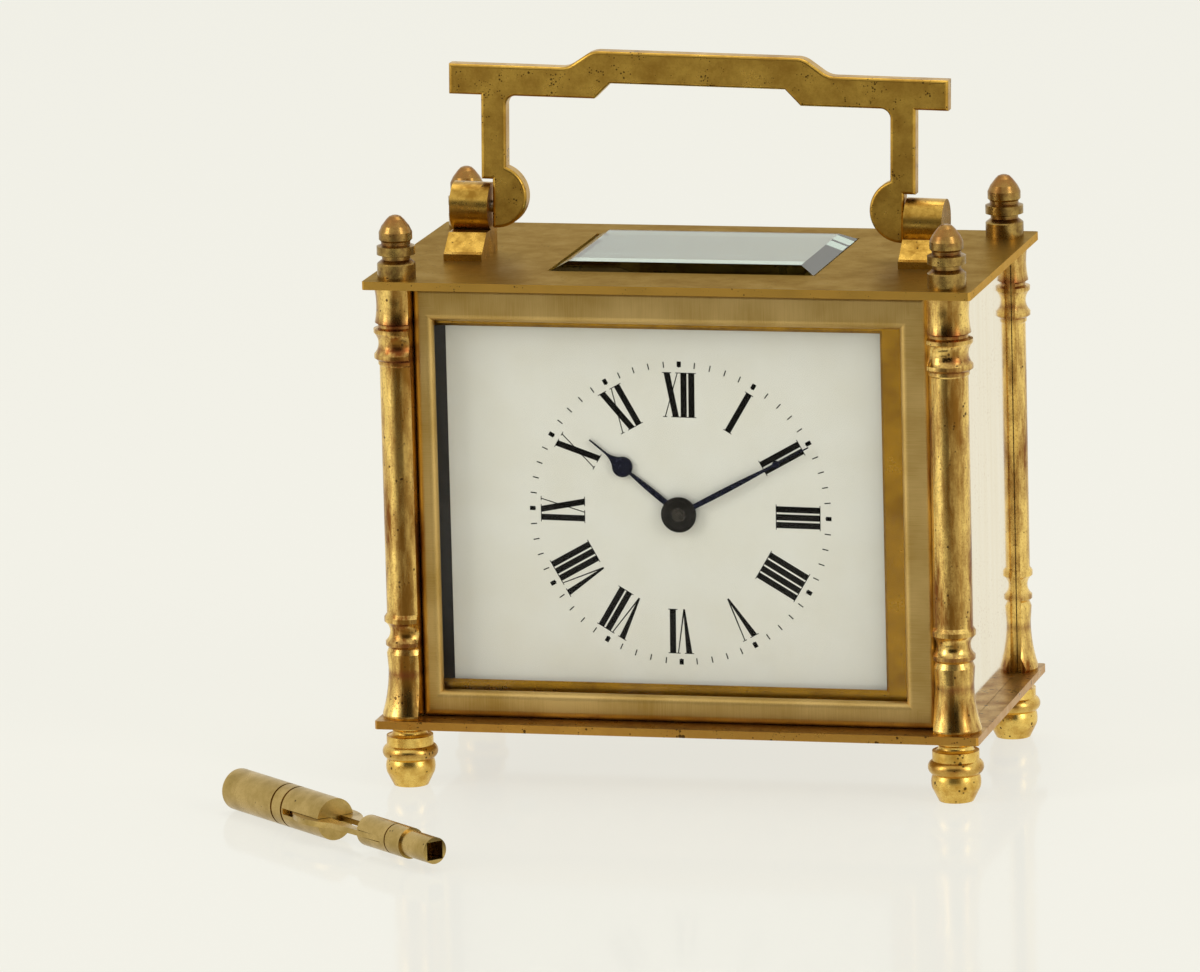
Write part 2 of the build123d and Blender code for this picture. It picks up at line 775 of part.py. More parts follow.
def bracket(side):
    """A cast ear on the roof: a sloping toe and a barrel that holds the pivot pin."""
    z = roof_top
    toe = make_face(Polyline(
        (bracket_front_y, z), (bracket_front_y, z + bracket_lip),
        (bracket_front_y + 0.7, z + bracket_lip + 0.3), (bracket_step_y, z + bracket_step),
        (bracket_rear_y, z + bracket_step), (bracket_rear_y, z), close=True))
    ends = sorted((side * knuckle_inner_x, side * (knuckle_inner_x + knuckle_width)))
    foot_block = Pos(handle_x + ends[0], 0, 0) * (Plane.YZ * extrude(toe, ends[1] - ends[0]))
    barrel = Pos((ends[0] + ends[1]) / 2, 0, 0) * Rot(0, 90, 0) * Cylinder(
        knuckle_radius, knuckle_width)
    ear = foot_block + handle_frame() * barrel
    ear -= handle_frame() * Pos(side * knuckle_inner_x, 0, 0) * Rot(0, 90, 0) * Cylinder(
        pin_radius + seat_gap, 2 * (knuckle_width - pin_wall))
    x = bracket_screw_columns()[0] if side < 0 else bracket_screw_columns()[1]
    return ear - post(x, bracket_screw_y(), z - 1, z + screw_bite, screw_radius + seat_gap)


def handle_pins():
    """Two steel pins, fast in the brackets, on which the handle folds."""
    pins = []
    for side in (-1, 1):
        near = side * pin_tip_x()
        far = side * (knuckle_inner_x + knuckle_width - pin_wall - 0.1)
        pin = Pos((near + far) / 2, 0, 0) * Rot(0, 90, 0) * Cylinder(pin_radius, abs(far - near))
        pins.append(handle_frame() * pin)
    return pins


def bracket_screws():
    screws = []
    for x in bracket_screw_columns():
        y = bracket_screw_y()
        shank = post(x, y, roof_under, roof_top + screw_bite - 0.2, screw_radius)
        head = post(x, y, roof_under - screw_head_height, roof_under, screw_head_radius)
        screws.append(shank + head)
    return screws


def movement_screw_rows():
    return (inside_front_y + 4, inside_rear_y - 4)


def movement_plate(y0, holes):
    """One of the two plates that carry the train."""
    plate = block(works_x - works_half_width, works_x + works_half_width, y0,
                  y0 + works_plate_thick, works_bottom, works_top)
    plate = fillet(plate.edges().filter_by(Axis.Y).sort_by(Axis.Z)[-2:], 4.0)
    for x, z, radius in holes:
        plate -= rod(x, z, y0 - 1, y0 + works_plate_thick + 1, radius)
    for x, z in pillar_places():
        plate -= rod(x, z, y0 - 1, y0 + works_plate_thick + 1, screw_radius + seat_gap)
    return plate


def train_holes():
    small = pivot_radius + pivot_fit
    return [(second_x, second_z, small), (third_x, third_z, small), (contrate_x, contrate_z, small),
            (works_x, dial_z, centre_tube_radius + pivot_fit),
            (barrel_x, barrel_z, barrel_arbor_radius + pivot_fit)]


def front_works_plate():
    feet = [(x, z, dial_foot_radius + seat_gap) for x, z in dial_foot_places()]
    plate = movement_plate(works_front_y, train_holes() + feet)
    return plate + rod(minute_x, minute_z, minute_post_front(), works_front_y, minute_post_radius)


def minute_post_front():
    """The front end of the stud, riveted in the front plate, that the minute wheel turns on."""
    return dial_rear_y + 0.6


def rear_works_plate():
    plate = movement_plate(inside_rear_y, train_holes())
    x, z = click_place()
    plate -= rod(x, z, inside_rear_y - 1, works_rear_y + 1, click_pin_radius + seat_gap)
    x, z = click_spring_place()
    return plate - rod(x, z, inside_rear_y + 0.3, works_rear_y + 1, 0.6 + seat_gap)


def pillar_places():
    low = works_bottom + pillar_radius
    high = works_top - pillar_drop
    return [(works_x + i * pillar_x, z) for i in (-1, 1) for z in (low, high)]


def pillars():
    """Four turned pillars that space the movement plates."""
    bars = []
    for x, z in pillar_places():
        bar = rod(x, z, inside_front_y, inside_rear_y, pillar_radius)
        for y in (inside_front_y, inside_rear_y):
            bar -= rod(x, z, y - screw_bite - 0.2, y + screw_bite + 0.2, screw_radius + seat_gap)
        if z < dial_z:
            for y in movement_screw_rows():
                bar -= post(x, y, base_top - 1, z + 1, screw_radius + seat_gap)
        bars.append(bar)
    return bars


def pillar_screws():
    screws = []
    for x, z in pillar_places():
        front = rod(x, z, works_front_y, inside_front_y + screw_bite, screw_radius)
        front += rod(x, z, works_front_y - screw_head_height, works_front_y, screw_head_radius)
        rear = rod(x, z, inside_rear_y - screw_bite, works_rear_y, screw_radius)
        rear += rod(x, z, works_rear_y, works_rear_y + screw_head_height, screw_head_radius)
        screws += [front, rear]
    return screws


def movement_screws():
    """Four screws that hold the movement to the base plate from below."""
    screws = []
    for x in (-pillar_x, pillar_x):
        for y in movement_screw_rows():
            shank = post(works_x + x, y, foot_height, works_bottom + pillar_radius, screw_radius)
            head = post(works_x + x, y, foot_height - screw_head_height, foot_height,
                        screw_head_radius)
            screws.append(shank + head)
    return screws


def layer(depth):
    return inside_front_y + depth


def great_wheel():
    """The going barrel: a drum with the great wheel cut round its front rim."""
    y0 = layer(barrel_layer)
    angle = heading(barrel_x, barrel_z, second_x, second_z)
    teeth = spin(barrel_x, barrel_z, angle, toothed(barrel_teeth, barrel_module, 0.46),
                 y0, y0 + great_wheel_thick)
    rear = y0 + great_wheel_thick + drum_length
    drum = rod(barrel_x, barrel_z, y0, rear, drum_radius)
    hollow = rod(barrel_x, barrel_z, y0 + drum_wall, rear - drum_wall, drum_radius - drum_wall)
    bore = rod(barrel_x, barrel_z, y0 - 1, rear + 1, barrel_arbor_radius + pivot_fit)
    return teeth + drum - hollow - bore


def mainspring():
    """A coiled strip of half turns inside the drum, run down to its outer wall."""
    y0 = layer(barrel_layer) + drum_wall + 0.3
    y1 = layer(barrel_layer) + great_wheel_thick + drum_length - drum_wall - 0.3
    outer = drum_radius - drum_wall - 0.3
    pitch = spring_thick * 1.7
    edges = []
    for i in range(2 * spring_turns):
        radius = outer - (i + 0.5) * pitch / 2
        sign = 1 if i % 2 == 0 else -1
        shift = sign * pitch / 4
        edges.append(ThreePointArc((sign * radius + shift, 0), (shift, sign * radius),
                                   (shift - sign * radius, 0)))
    ribbon = offset_strip(edges, spring_thick)
    return spin(barrel_x, barrel_z, 0, ribbon, y0, y1)


def offset_strip(arcs, thick):
    """A face made of half-ring strips laid end to end along the arcs."""
    strip = None
    for arc in arcs:
        centre = arc.arc_center
        radius = arc.radius
        start = arc @ 0
        ring = Circle(radius + thick / 2) - Circle(radius - thick / 2)
        middle = arc @ 0.5
        side = 1 if middle.Y > 0 else -1
        half = ring & (Pos(0, side * radius) * Rectangle(4 * radius, 2 * radius))
        piece = Pos(centre.X, centre.Y) * half
        strip = piece if strip is None else strip + piece
    return strip


def winding_arbor():
    """The barrel's arbor, with the winding square that the key fits, behind the rear plate."""
    front = layer(barrel_layer)
    shaft = rod(barrel_x, barrel_z, works_front_y + 0.2, works_rear_y + 0.1, barrel_arbor_radius)
    shaft += rod(barrel_x, barrel_z, works_rear_y + 0.1, works_rear_y + square_base, ratchet_hub)
    square = Pos(barrel_x, works_rear_y + square_base + square_length / 2, barrel_z) * Box(
        square_side, square_length, square_side)
    square = chamfer(square.faces().sort_by(Axis.Y)[-1].edges(), 0.3)
    hook = Pos(barrel_x, (front + great_wheel_thick + drum_length / 2), barrel_z + barrel_arbor_radius)
    return shaft + square + hook * Box(0.5, 2.0, 0.8)


def ratchet_face():
    pitch = 2 * pi / ratchet_teeth
    points = []
    for i in range(ratchet_teeth):
        points.append(polar(ratchet_radius, i * pitch))
        points.append(polar(ratchet_radius - ratchet_tooth, (i + 0.12) * pitch))
    return make_face(Polyline(*points, close=True)) - Circle(ratchet_hub + seat_gap)


def ratchet_wheel():
    y0 = works_rear_y + 0.2
    return spin(barrel_x, barrel_z, 0, ratchet_face(), y0, y0 + ratchet_thick)


def click_place():
    return barrel_x + click_reach * cos(radians(62)), barrel_z + click_reach * sin(radians(62))


def click():
    """The pawl over the ratchet wheel, with the screw it turns on."""
    x, z = click_place()
    tip_angle = radians(106)
    tip = ratchet_radius + 0.25
    tip_x = barrel_x + tip * cos(tip_angle)
    tip_z = barrel_z + tip * sin(tip_angle)
    back_x = barrel_x + (tip + 1.3) * cos(tip_angle)
    back_z = barrel_z + (tip + 1.3) * sin(tip_angle)
    y0 = works_rear_y + 0.2
    beak = make_face(Polyline((tip_x, tip_z), (x - 0.4, z - 1.5), (x + 0.6, z + 1.6),
                              (back_x, back_z), close=True))
    body = slab(beak, y0, y0 + ratchet_thick)
    body += rod(x, z, y0, y0 + ratchet_thick, click_hub)
    return body - rod(x, z, y0 - 1, y0 + 3, click_pin_radius + pivot_fit)


def click_screw():
    x, z = click_place()
    y0 = works_rear_y + 0.2 + ratchet_thick + 0.1
    shank = rod(x, z, inside_rear_y + 0.3, y0, click_pin_radius)
    return shank + rod(x, z, y0, y0 + 0.7, screw_head_radius)


def click_spring_place():
    x, z = click_place()
    return x - 11.0, z + 4.6


def click_spring():
    """A flat steel strip that keeps the click against the ratchet wheel."""
    x, z = click_spring_place()
    cx, cz = click_place()
    y0 = works_rear_y + 0.3
    strip = make_face(Polyline((x, z + 0.35), (cx - 1.6, cz + 1.9), (cx - 1.6, cz + 1.6),
                               (x, z - 0.35), close=True))
    body = slab(strip, y0, y0 + 0.9) + rod(x, z, works_rear_y + 0.05, y0 + 1.1, 1.1)
    return body + rod(x, z, inside_rear_y + 0.5, works_rear_y + 0.1, 0.6)


def arbor_span():
    return inside_front_y + 0.1, inside_rear_y - 0.1


def second_arbor():
    y0, y1 = arbor_span()
    body = arbor(second_x, second_z, y0, y1, arbor_radius)
    front = layer(second_layer)
    rear = layer(barrel_layer)
    wheel_angle = heading(second_x, second_z, works_x, dial_z)
    leaf_angle = heading(second_x, second_z, barrel_x, barrel_z) + 180 / second_leaves
    body += wheel(second_x, second_z, wheel_angle, second_teeth, second_module,
                  front, front + wheel_thick, 2.0)
    return body + pinion(second_x, second_z, leaf_angle, second_leaves, barrel_module,
                         rear - 0.4, rear + great_wheel_thick + 0.4)


def centre_arbor():
    """The centre wheel on its hollow arbor, which turns once an hour."""
    y0, y1 = arbor_span()
    tube = rod(works_x, dial_z, works_front_y + 0.1, works_rear_y - 0.1, centre_tube_radius)
    front = layer(second_layer)
    mid = layer(centre_layer)
    leaf_angle = heading(works_x, dial_z, second_x, second_z) + 180 / centre_leaves
    wheel_angle = heading(works_x, dial_z, third_x, third_z)
    tube += pinion(works_x, dial_z, leaf_angle, centre_leaves, second_module,
                   front - 0.6, front + wheel_thick + 0.6)
    tube += wheel(works_x, dial_z, wheel_angle, centre_teeth, centre_module,
                  mid, mid + wheel_thick, 2.4)
    return tube - rod(works_x, dial_z, y0 - 9, y1 + 9, set_arbor_radius + pivot_fit)


def third_arbor():
    y0, y1 = arbor_span()
    body = arbor(third_x, third_z, y0, y1, arbor_radius)
    front = layer(centre_layer)
    mid = layer(third_layer)
    leaf_angle = heading(third_x, third_z, works_x, dial_z) + 180 / third_leaves
    wheel_angle = heading(third_x, third_z, contrate_x, contrate_z)
    body += pinion(third_x, third_z, leaf_angle, third_leaves, centre_module,
                   front - 0.6, front + wheel_thick + 0.6)
    return body + wheel(third_x, third_z, wheel_angle, third_teeth, third_module,
                        mid, mid + wheel_thick, 1.8)


def contrate_arbor():
    """The contrate wheel: a disc with teeth that stand towards the front from its rim."""
    y0, y1 = arbor_span()
    body = arbor(contrate_x, contrate_z, y0, y1, arbor_radius)
    front = layer(third_layer)
    leaf_angle = heading(contrate_x, contrate_z, third_x, third_z) + 180 / contrate_leaves
    body += pinion(contrate_x, contrate_z, leaf_angle, contrate_leaves, third_module,
                   front - 0.6, front + wheel_thick + 0.6)
    radius = contrate_module * contrate_teeth / 2
    rim = Circle(radius + 0.6) - Circle(radius - 1.2)
    for i in range(4):
        rim += Rot(0, 0, 45 + 90 * i) * Pos(radius / 2, 0) * Rectangle(radius - 0.4, 1.2)
    rim += Circle(1.8)
    body += spin(contrate_x, contrate_z, 0, rim, contrate_face_y, contrate_face_y + wheel_thick)
    tooth = Rectangle(1.2, contrate_module * pi * 0.36)
    pitch = 360 / contrate_teeth
    places = PolarLocations(radius, contrate_teeth, start_angle=90 + pitch / 2)
    teeth = Sketch() + [place * tooth for place in places]
    return body + spin(contrate_x, contrate_z, 0, teeth, contrate_tip_y, contrate_face_y)


def escape_arbor():
    """The upright escape pinion with the escape wheel above the platform."""
    low = contrate_z + contrate_module * contrate_teeth / 2 - 1.3
    body = post(escape_x, escape_y, low - 0.8, platform_top + bridge_rise + bridge_thick,
                escape_arbor_radius)
    leaves = toothed(escape_leaves, contrate_module, 0.34, 0.8)
    body += Pos(escape_x, escape_y, low) * Rot(0, 0, 90) * extrude(leaves, 2.6)
    pitch = 2 * pi / escape_teeth
    points = []
    for i in range(escape_teeth):
        points.append(polar(escape_radius, (i + 0.425) * pitch))
        points.append(polar(escape_radius - 0.06, (i + 0.525) * pitch))
        points.append(polar(escape_radius - 0.9, (i + 0.725) * pitch))
        points.append(polar(escape_radius - 0.9, (i + 1.275) * pitch))
    face = make_face(Polyline(*points, close=True)) - (Circle(1.5) - Circle(0.8))
    for i in range(4):
        face += Rot(0, 0, 90 * i) * Pos(1.2, 0) * Rectangle(1.2, 0.35)
    z = platform_top + escape_rise
    return body + Pos(escape_x, escape_y, z) * extrude(face, escape_wheel_thick)


def escape_foot():
    """The small cock under the platform that carries the lower escape pivot."""
    low = contrate_z + contrate_module * contrate_teeth / 2 - 1.3 - 0.8
    arm = block(escape_x - 1.2, escape_x + 1.2, escape_y - 6.5, escape_y + 1.2, low - 0.3, low + 0.4)
    leg = block(escape_x - 1.2, escape_x + 1.2, escape_y - 6.5, escape_y - 5.3, low, works_top)
    return arm + leg - post(escape_x, escape_y, low - 0.05, low + 1, escape_arbor_radius + pivot_fit)


def platform():
    """The plate across the top of the movement that carries the escapement."""
    x_middle = (escape_x + balance_x) / 2 - 1.5
    plate = block(x_middle - platform_half_width, x_middle + platform_half_width,
                  works_front_y + 0.2, works_rear_y - 0.2, works_top, platform_top)
    plate -= post(escape_x, escape_y, works_top - 1, platform_top + 1, 0.9)
    for x in (lever_x, balance_x):
        plate -= post(x, escape_y, works_top + 0.3, platform_top + 1,
                      balance_staff_radius + pivot_fit)
    for x, y in platform_screw_places():
        plate -= post(x, y, works_top - 1, platform_top + 1, small_screw_radius + seat_gap)
    return plate


def platform_screw_places():
    x_middle = (escape_x + balance_x) / 2 - 1.5
    rows = (works_front_y + works_plate_thick / 2, works_rear_y - works_plate_thick / 2)
    return [(x_middle + i * (platform_half_width - 2.5), y) for i in (-1, 1) for y in rows]


def platform_screws():
    screws = []
    for x, y in platform_screw_places():
        head = post(x, y, platform_top, platform_top + 0.7, screw_radius)
        screws.append(head + post(x, y, works_top + 0.1, platform_top, small_screw_radius))
    return screws


def lever_bridge():
    """The bridge over the escape wheel and lever that holds their upper pivots."""
    z0 = platform_top + bridge_rise
    z1 = z0 + bridge_thick
    top = block(lever_x - 1.1, escape_x + 1.1, escape_y - 1.1, escape_y + 1.1, z0, z1)
    top += block(escape_x - 1.1, escape_x + 1.1, escape_y - 5.6, escape_y, z0, z1)
    leg = block(escape_x - 1.1, escape_x + 1.1, escape_y - 5.6, escape_y - 3.6, platform_top, z1)
    bridge = top + leg
    bridge -= post(escape_x, escape_y, z0 - 1, z1 + 1, escape_arbor_radius + pivot_fit)
    return bridge - post(lever_x, escape_y, z0 - 1, z1 - 0.2, balance_staff_radius + pivot_fit)


def pallet_lever():
    """The lever: two pallets at the escape wheel and a fork towards the balance."""
    z = platform_top + escape_rise
    inner = escape_radius + pallet_gap
    stone = Pos(inner + 0.35, 0) * Rectangle(0.7, 0.4)
    face = Pos(escape_x, escape_y) * Rot(0, 0, 144) * stone
    face += Pos(escape_x, escape_y) * Rot(0, 0, 216) * stone
    for side in (-1, 1):
        reach = inner + 0.55
        px = escape_x + reach * cos(radians(144))
        py = escape_y + side * reach * sin(radians(144))
        arm_length = hypot(px - lever_x, py - escape_y)
        arm = Pos(arm_length / 2, 0) * Rectangle(arm_length, 0.5)
        turn = degrees(atan2(py - escape_y, px - lever_x))
        face += Pos(lever_x, escape_y) * Rot(0, 0, turn) * arm
    fork_x = balance_x + roller_pin_reach + 0.02
    root_x = fork_x + 0.75
    face += Pos((lever_x + root_x) / 2, escape_y) * Rectangle(lever_x - root_x, 0.6)
    face += Pos(root_x, escape_y) * Rectangle(0.5, 2.1)
    for side in (-1, 1):
        face += Pos((fork_x + root_x) / 2, escape_y + side * 0.9) * Rectangle(root_x - fork_x, 0.3)
    face += Pos(lever_x, escape_y) * Circle(0.75)
    lever = Pos(0, 0, z) * extrude(face, lever_thick)
    return lever + post(lever_x, escape_y, platform_top - 0.7, platform_top + bridge_rise + 0.5,
                        balance_staff_radius)


def balance():
    """The balance wheel with its staff, roller and impulse pin."""
    z = platform_top + balance_rise
    rim = Circle(balance_radius) - Circle(balance_radius - balance_rim)
    rim += Rectangle(2 * balance_radius - 0.5, 1.0)
    rim += Circle(1.3)
    wheel_body = Pos(balance_x, escape_y, z) * extrude(rim, balance_thick)
    for i in range(12):
        angle = 30 * i + 15
        head = Pos(balance_x, escape_y, z + balance_thick / 2) * Rot(0, 0, angle)
        wheel_body += head * Pos(balance_radius + 0.25, 0, 0) * Rot(0, 90, 0) * Cylinder(0.42, 0.6)
    staff = post(balance_x, escape_y, platform_top - 0.7, platform_top + cock_rise + 0.6,
                 balance_staff_radius)
    roller_z = platform_top + bridge_rise
    roller = post(balance_x, escape_y, roller_z, roller_z + 0.5, 1.6)
    pin = post(balance_x + roller_pin_reach, escape_y, platform_top + escape_rise, roller_z + 0.1,
               0.15)
    collet = post(balance_x, escape_y, z + balance_thick, z + balance_thick + 1.4, 0.8)
    return wheel_body + staff + roller + pin + collet


def hairspring_radius():
    return hairspring_inner + hairspring_turns * hairspring_pitch


def hairspring():
    """A flat spiral of half turns between the balance and its cock."""
    z = platform_top + balance_rise + balance_thick + 0.6
    edges = []
    for i in range(2 * hairspring_turns):
        radius = hairspring_inner + (i + 0.5) * hairspring_pitch / 2
        sign = 1 if i % 2 == 0 else -1
        shift = -sign * hairspring_pitch / 4
        edges.append(ThreePointArc((sign * radius + shift, 0), (shift, sign * radius),
                                   (shift - sign * radius, 0)))
    ribbon = offset_strip(edges, hairspring_thick)
    return Pos(balance_x, escape_y, z) * extrude(ribbon, 0.4)


def balance_cock():
    """The arm over the balance, on a block at the left of the platform."""
    z0 = platform_top + cock_rise
    foot_x = balance_x - balance_radius - cock_foot_gap
    half = cock_width / 2
    arm = block(foot_x - half, balance_x, escape_y - half, escape_y + half, z0, z0 + cock_thick)
    arm += post(balance_x, escape_y, z0, z0 + cock_thick, cock_end_radius)
    leg = block(foot_x - half, foot_x + half, escape_y - cock_foot_width / 2,
                escape_y + cock_foot_width / 2, platform_top, z0 + cock_thick)
    stud_x = balance_x + hairspring_radius() - 0.1
    stud = block(stud_x - 0.35, stud_x + 0.35, escape_y + 0.1, escape_y + 0.8,
                 platform_top + balance_rise + balance_thick + 1.05, z0)
    arm += block(balance_x, stud_x + 0.6, escape_y - 0.2, escape_y + 1.3, z0, z0 + cock_thick)
    pivot_hole = post(balance_x, escape_y, z0 - 1, z0 + 0.7, balance_staff_radius + pivot_fit)
    return arm + leg + stud - pivot_hole


def regulator():
    """The index lever on the cock that sets the clock fast or slow."""
    z0 = platform_top + cock_rise + cock_thick + 0.1
    face = Circle(2.6) - Circle(1.25)
    tail = Polyline((2.3, -0.45), (6.4, -0.2), (6.4, 0.2), (2.3, 0.45), close=True)
    face += Rot(0, 0, -60) * make_face(tail)
    return Pos(balance_x, escape_y, z0) * extrude(face, 0.4)


def regulator_cap():
    """The end plate on the cock that the index turns around."""
    z0 = platform_top + cock_rise + cock_thick
    body = post(balance_x, escape_y, z0, z0 + 0.6, 1.2)
    return body + post(balance_x, escape_y, z0 + 0.6, z0 + 0.8, 1.7)


def cannon_front():
    return works_front_y - motion_gap - cannon_length


def minute_wheel():
    front = cannon_front()
    wheel_front = front + (cannon_length - wheel_thick) / 2
    angle = heading(minute_x, minute_z, works_x, dial_z)
    body = wheel(minute_x, minute_z, angle, minute_teeth, motion_module,
                 wheel_front, wheel_front + wheel_thick, minute_hub_radius)
    body += pinion(minute_x, minute_z, angle + 180 / minute_leaves, minute_leaves, hour_module,
                   wheel_front + 0.1 - minute_pinion_length, wheel_front + 0.1)
    return body - rod(minute_x, minute_z, dial_rear_y, inside_front_y, minute_post_radius + pivot_fit)


def hour_wheel():
    """The hour wheel and its pipe, which carries the hour hand in front of the dial."""
    rear = cannon_front() - motion_gap - 0.6
    angle = heading(works_x, dial_z, minute_x, minute_z)
    body = wheel(works_x, dial_z, angle, hour_teeth, hour_module, rear - wheel_thick, rear,
                 hour_hub_radius)
    front = dial_front_y - hour_hand_gap - hand_thick
    body += rod(works_x, dial_z, front, rear, hour_pipe_radius)
    return body - rod(works_x, dial_z, front - 1, rear + 1, hour_pipe_bore)


def set_arbor():
    """The hand arbor through the hollow centre: cannon pinion in front, square behind."""
    y0 = cannon_front()
    y1 = y0 + cannon_length
    angle = heading(works_x, dial_z, minute_x, minute_z) + 180 / cannon_teeth
    body = pinion(works_x, dial_z, angle, cannon_teeth, motion_module, y0, y1)
    front = dial_front_y - minute_hand_gap - hand_thick - collet_thick
    body += rod(works_x, dial_z, front, y0 + 0.1, cannon_pipe_radius)
    body += rod(works_x, dial_z, front - 0.15, front, 0.7)
    body += rod(works_x, dial_z, y1 - 0.1, works_rear_y + 1.0, set_arbor_radius)
    square = Pos(works_x, works_rear_y + 1.0 + square_length / 2, dial_z) * Box(
        set_square_side, square_length, set_square_side)
    return body + rod(works_x, dial_z, works_rear_y + 0.1, works_rear_y + 1.0, 1.1) + square


def place_hand(sketch, angle, front):
    """A hand drawn along +Y of its sketch, turned clockwise to its place on the dial."""
    return Pos(works_x, 0, dial_z) * Rot(0, angle, 0) * slab(sketch, front, front + hand_thick)


def hand_leaf(reach):
    """The slender leaf of a hand, from under the collet out to its narrow neck."""
    half = hand_leaf_width / 2
    neck = hand_waist_width / 2
    right = ThreePointArc((0.35, 0), (half, reach * 0.5), (neck, reach))
    left = ThreePointArc((-neck, reach), (-half, reach * 0.5), (-0.35, 0))
    return make_face(Wire([right, Line((neck, reach), (-neck, reach)), left,
                           Line((-0.35, 0), (0.35, 0))]))


def hand_spike(reach, radius, length):
    """The part beyond a bulb: it narrows quickly and ends in a long spike."""
    wide = radius * 0.86
    neck = hand_waist_width / 2
    start = reach + radius * 0.5
    middle = reach + radius * 2.0
    points = [(wide, start), (radius * 0.3, (start + middle) / 2), (neck, middle)]
    right = ThreePointArc(*points)
    left = ThreePointArc(*[(-x, y) for x, y in reversed(points)])
    tip = Polyline((neck, middle), (0.12, length), (-0.12, length), (-neck, middle))
    return make_face(Wire([right, *tip.edges(), left, Line((-wide, start), (wide, start))]))


def hour_hand():
    """A blued hand: leaf, round bulb and spike."""
    reach = hour_bulb_reach
    face = hand_leaf(reach - 0.5 * hour_bulb_radius)
    face += Pos(0, reach) * Circle(hour_bulb_radius)
    face += hand_spike(reach, hour_bulb_radius, hour_hand_length)
    face += Circle(collet_radius - 0.2)
    face -= Circle(hour_pipe_radius + seat_gap)
    return place_hand(face, hour_hand_angle, dial_front_y - hour_hand_gap - hand_thick)


def minute_hand():
    """A blued hand: long leaf, small spade and spike."""
    reach = minute_spade_reach
    face = hand_leaf(reach - 0.5 * minute_spade_radius)
    face += Pos(0, reach) * Circle(minute_spade_radius)
    face += hand_spike(reach, minute_spade_radius, minute_hand_length)
    face += Circle(2.0)
    face -= Circle(cannon_pipe_radius + seat_gap)
    return place_hand(face, minute_hand_angle, dial_front_y - minute_hand_gap - hand_thick)


def hand_collet():
    """The dark washer that covers the middle of the hands."""
    rear = dial_front_y - minute_hand_gap - hand_thick
    front = rear - collet_thick
    dome = rod(works_x, dial_z, front, rear, collet_radius)
    dome = chamfer(dome.faces().sort_by(Axis.Y)[0].edges(), collet_thick * 0.7, collet_thick * 2)
    return dome - rod(works_x, dial_z, front - 1, rear + 1, cannon_pipe_radius + seat_gap)


def key_place():
    """The key lies on the table along its heavy, thick end."""
    return Pos(key_x, key_y, key_radius) * Rot(0, 0, key_heading)


def along(start, length, radius):
    return Pos(start + length / 2, 0, 0) * Rot(0, 90, 0) * Cylinder(radius, length)


def key_body():
    """The thick end, with two grooves and a slot for the wing."""
    body = along(0, key_body_length, key_radius)
    body = chamfer(body.edges().filter_by(GeomType.CIRCLE).sort_by(Axis.X)[0], 0.4)
    for start in (16.0, 19.2):
        body -= along(start, 0.5, key_radius + 1) - along(start, 0.5, key_radius - 0.35)
    slot = Pos(key_wing_start + key_body_length / 2, 0, 0) * Box(
        key_body_length, 4 * key_radius, key_wing_thick + 2 * seat_gap)
    return key_place() * (body - slot)


def key_wing():
    """The flat leaf between the two ends, pierced where it crosses the gap."""
    s = key_wing_start + 0.1
    e = key_wing_end - 0.1
    half = key_wing_half
    near = key_neck_radius - 0.3
    edges = [
        Line((s, -1.0), (s, 1.0)), ThreePointArc((s, 1.0), (s + 7.0, half), (s + 15.0, near + 0.9)),
        Line((s + 15.0, near + 0.9), (e, near)), Line((e, near), (e, -near)),
        Line((e, -near), (s + 15.0, -near - 0.9)),
        ThreePointArc((s + 15.0, -near - 0.9), (s + 7.0, -half), (s, -1.0)),
    ]
    face = make_face(Wire(edges))
    middle = (key_body_length + key_neck_start) / 2
    face -= Pos(middle, 0) * SlotOverall(key_neck_start - key_body_length + 3.0, 2.6)
    return key_place() * Pos(0, 0, -key_wing_thick / 2) * extrude(face, key_wing_thick)


def key_neck():
    """The thin end: a slotted collar, a groove and a tube with a square socket."""
    body = along(key_neck_start, key_neck_length, key_neck_radius)
    start = key_neck_start + key_neck_length
    body += along(start, key_length - start, key_tube_radius)
    body -= along(key_neck_groove, 0.35, key_neck_radius + 1) - along(
        key_neck_groove, 0.35, key_neck_radius - 0.25)
    slot = Pos((key_neck_start + key_wing_end) / 2, 0, 0) * Box(
        key_wing_end - key_neck_start + 0.01, 4 * key_radius, key_wing_thick + 2 * seat_gap)
    side = square_side + 2 * key_socket_gap
    socket = Pos(key_length, 0, 0) * Box(2 * key_socket_depth, side, side)
    return key_place() * (body - slot - socket)


def case_parts():
    parts = {
        "bottom_plate": bottom_plate(), "top_plate": top_plate(),
        "column_front_left": column(-1, -1), "column_front_right": column(1, -1),
        "column_rear_left": column(-1, 1), "column_rear_right": column(1, 1),
        "finials": corners(finial), "feet": corners(foot),
        "side_panel_left": side_panel(-1), "side_panel_right": side_panel(1),
        "front_frame": front_frame(), "front_glass": front_glass(), "mask": mask(),
        "mask_screws": mask_screws(), "dial": dial(), "top_glass": top_glass(),
        "glass_keeper": glass_keeper(), "roof_screws": keeper_screw_set() + bracket_screws(),
        "door_frame": door_frame(), "door_glass": door_glass(), "door_knob": door_knob(),
        "door_hinge_pins": hinge_pins(), "handle": handle(), "handle_pins": handle_pins(),
        "handle_bracket_left": bracket(-1), "handle_bracket_right": bracket(1),
    }
    return parts


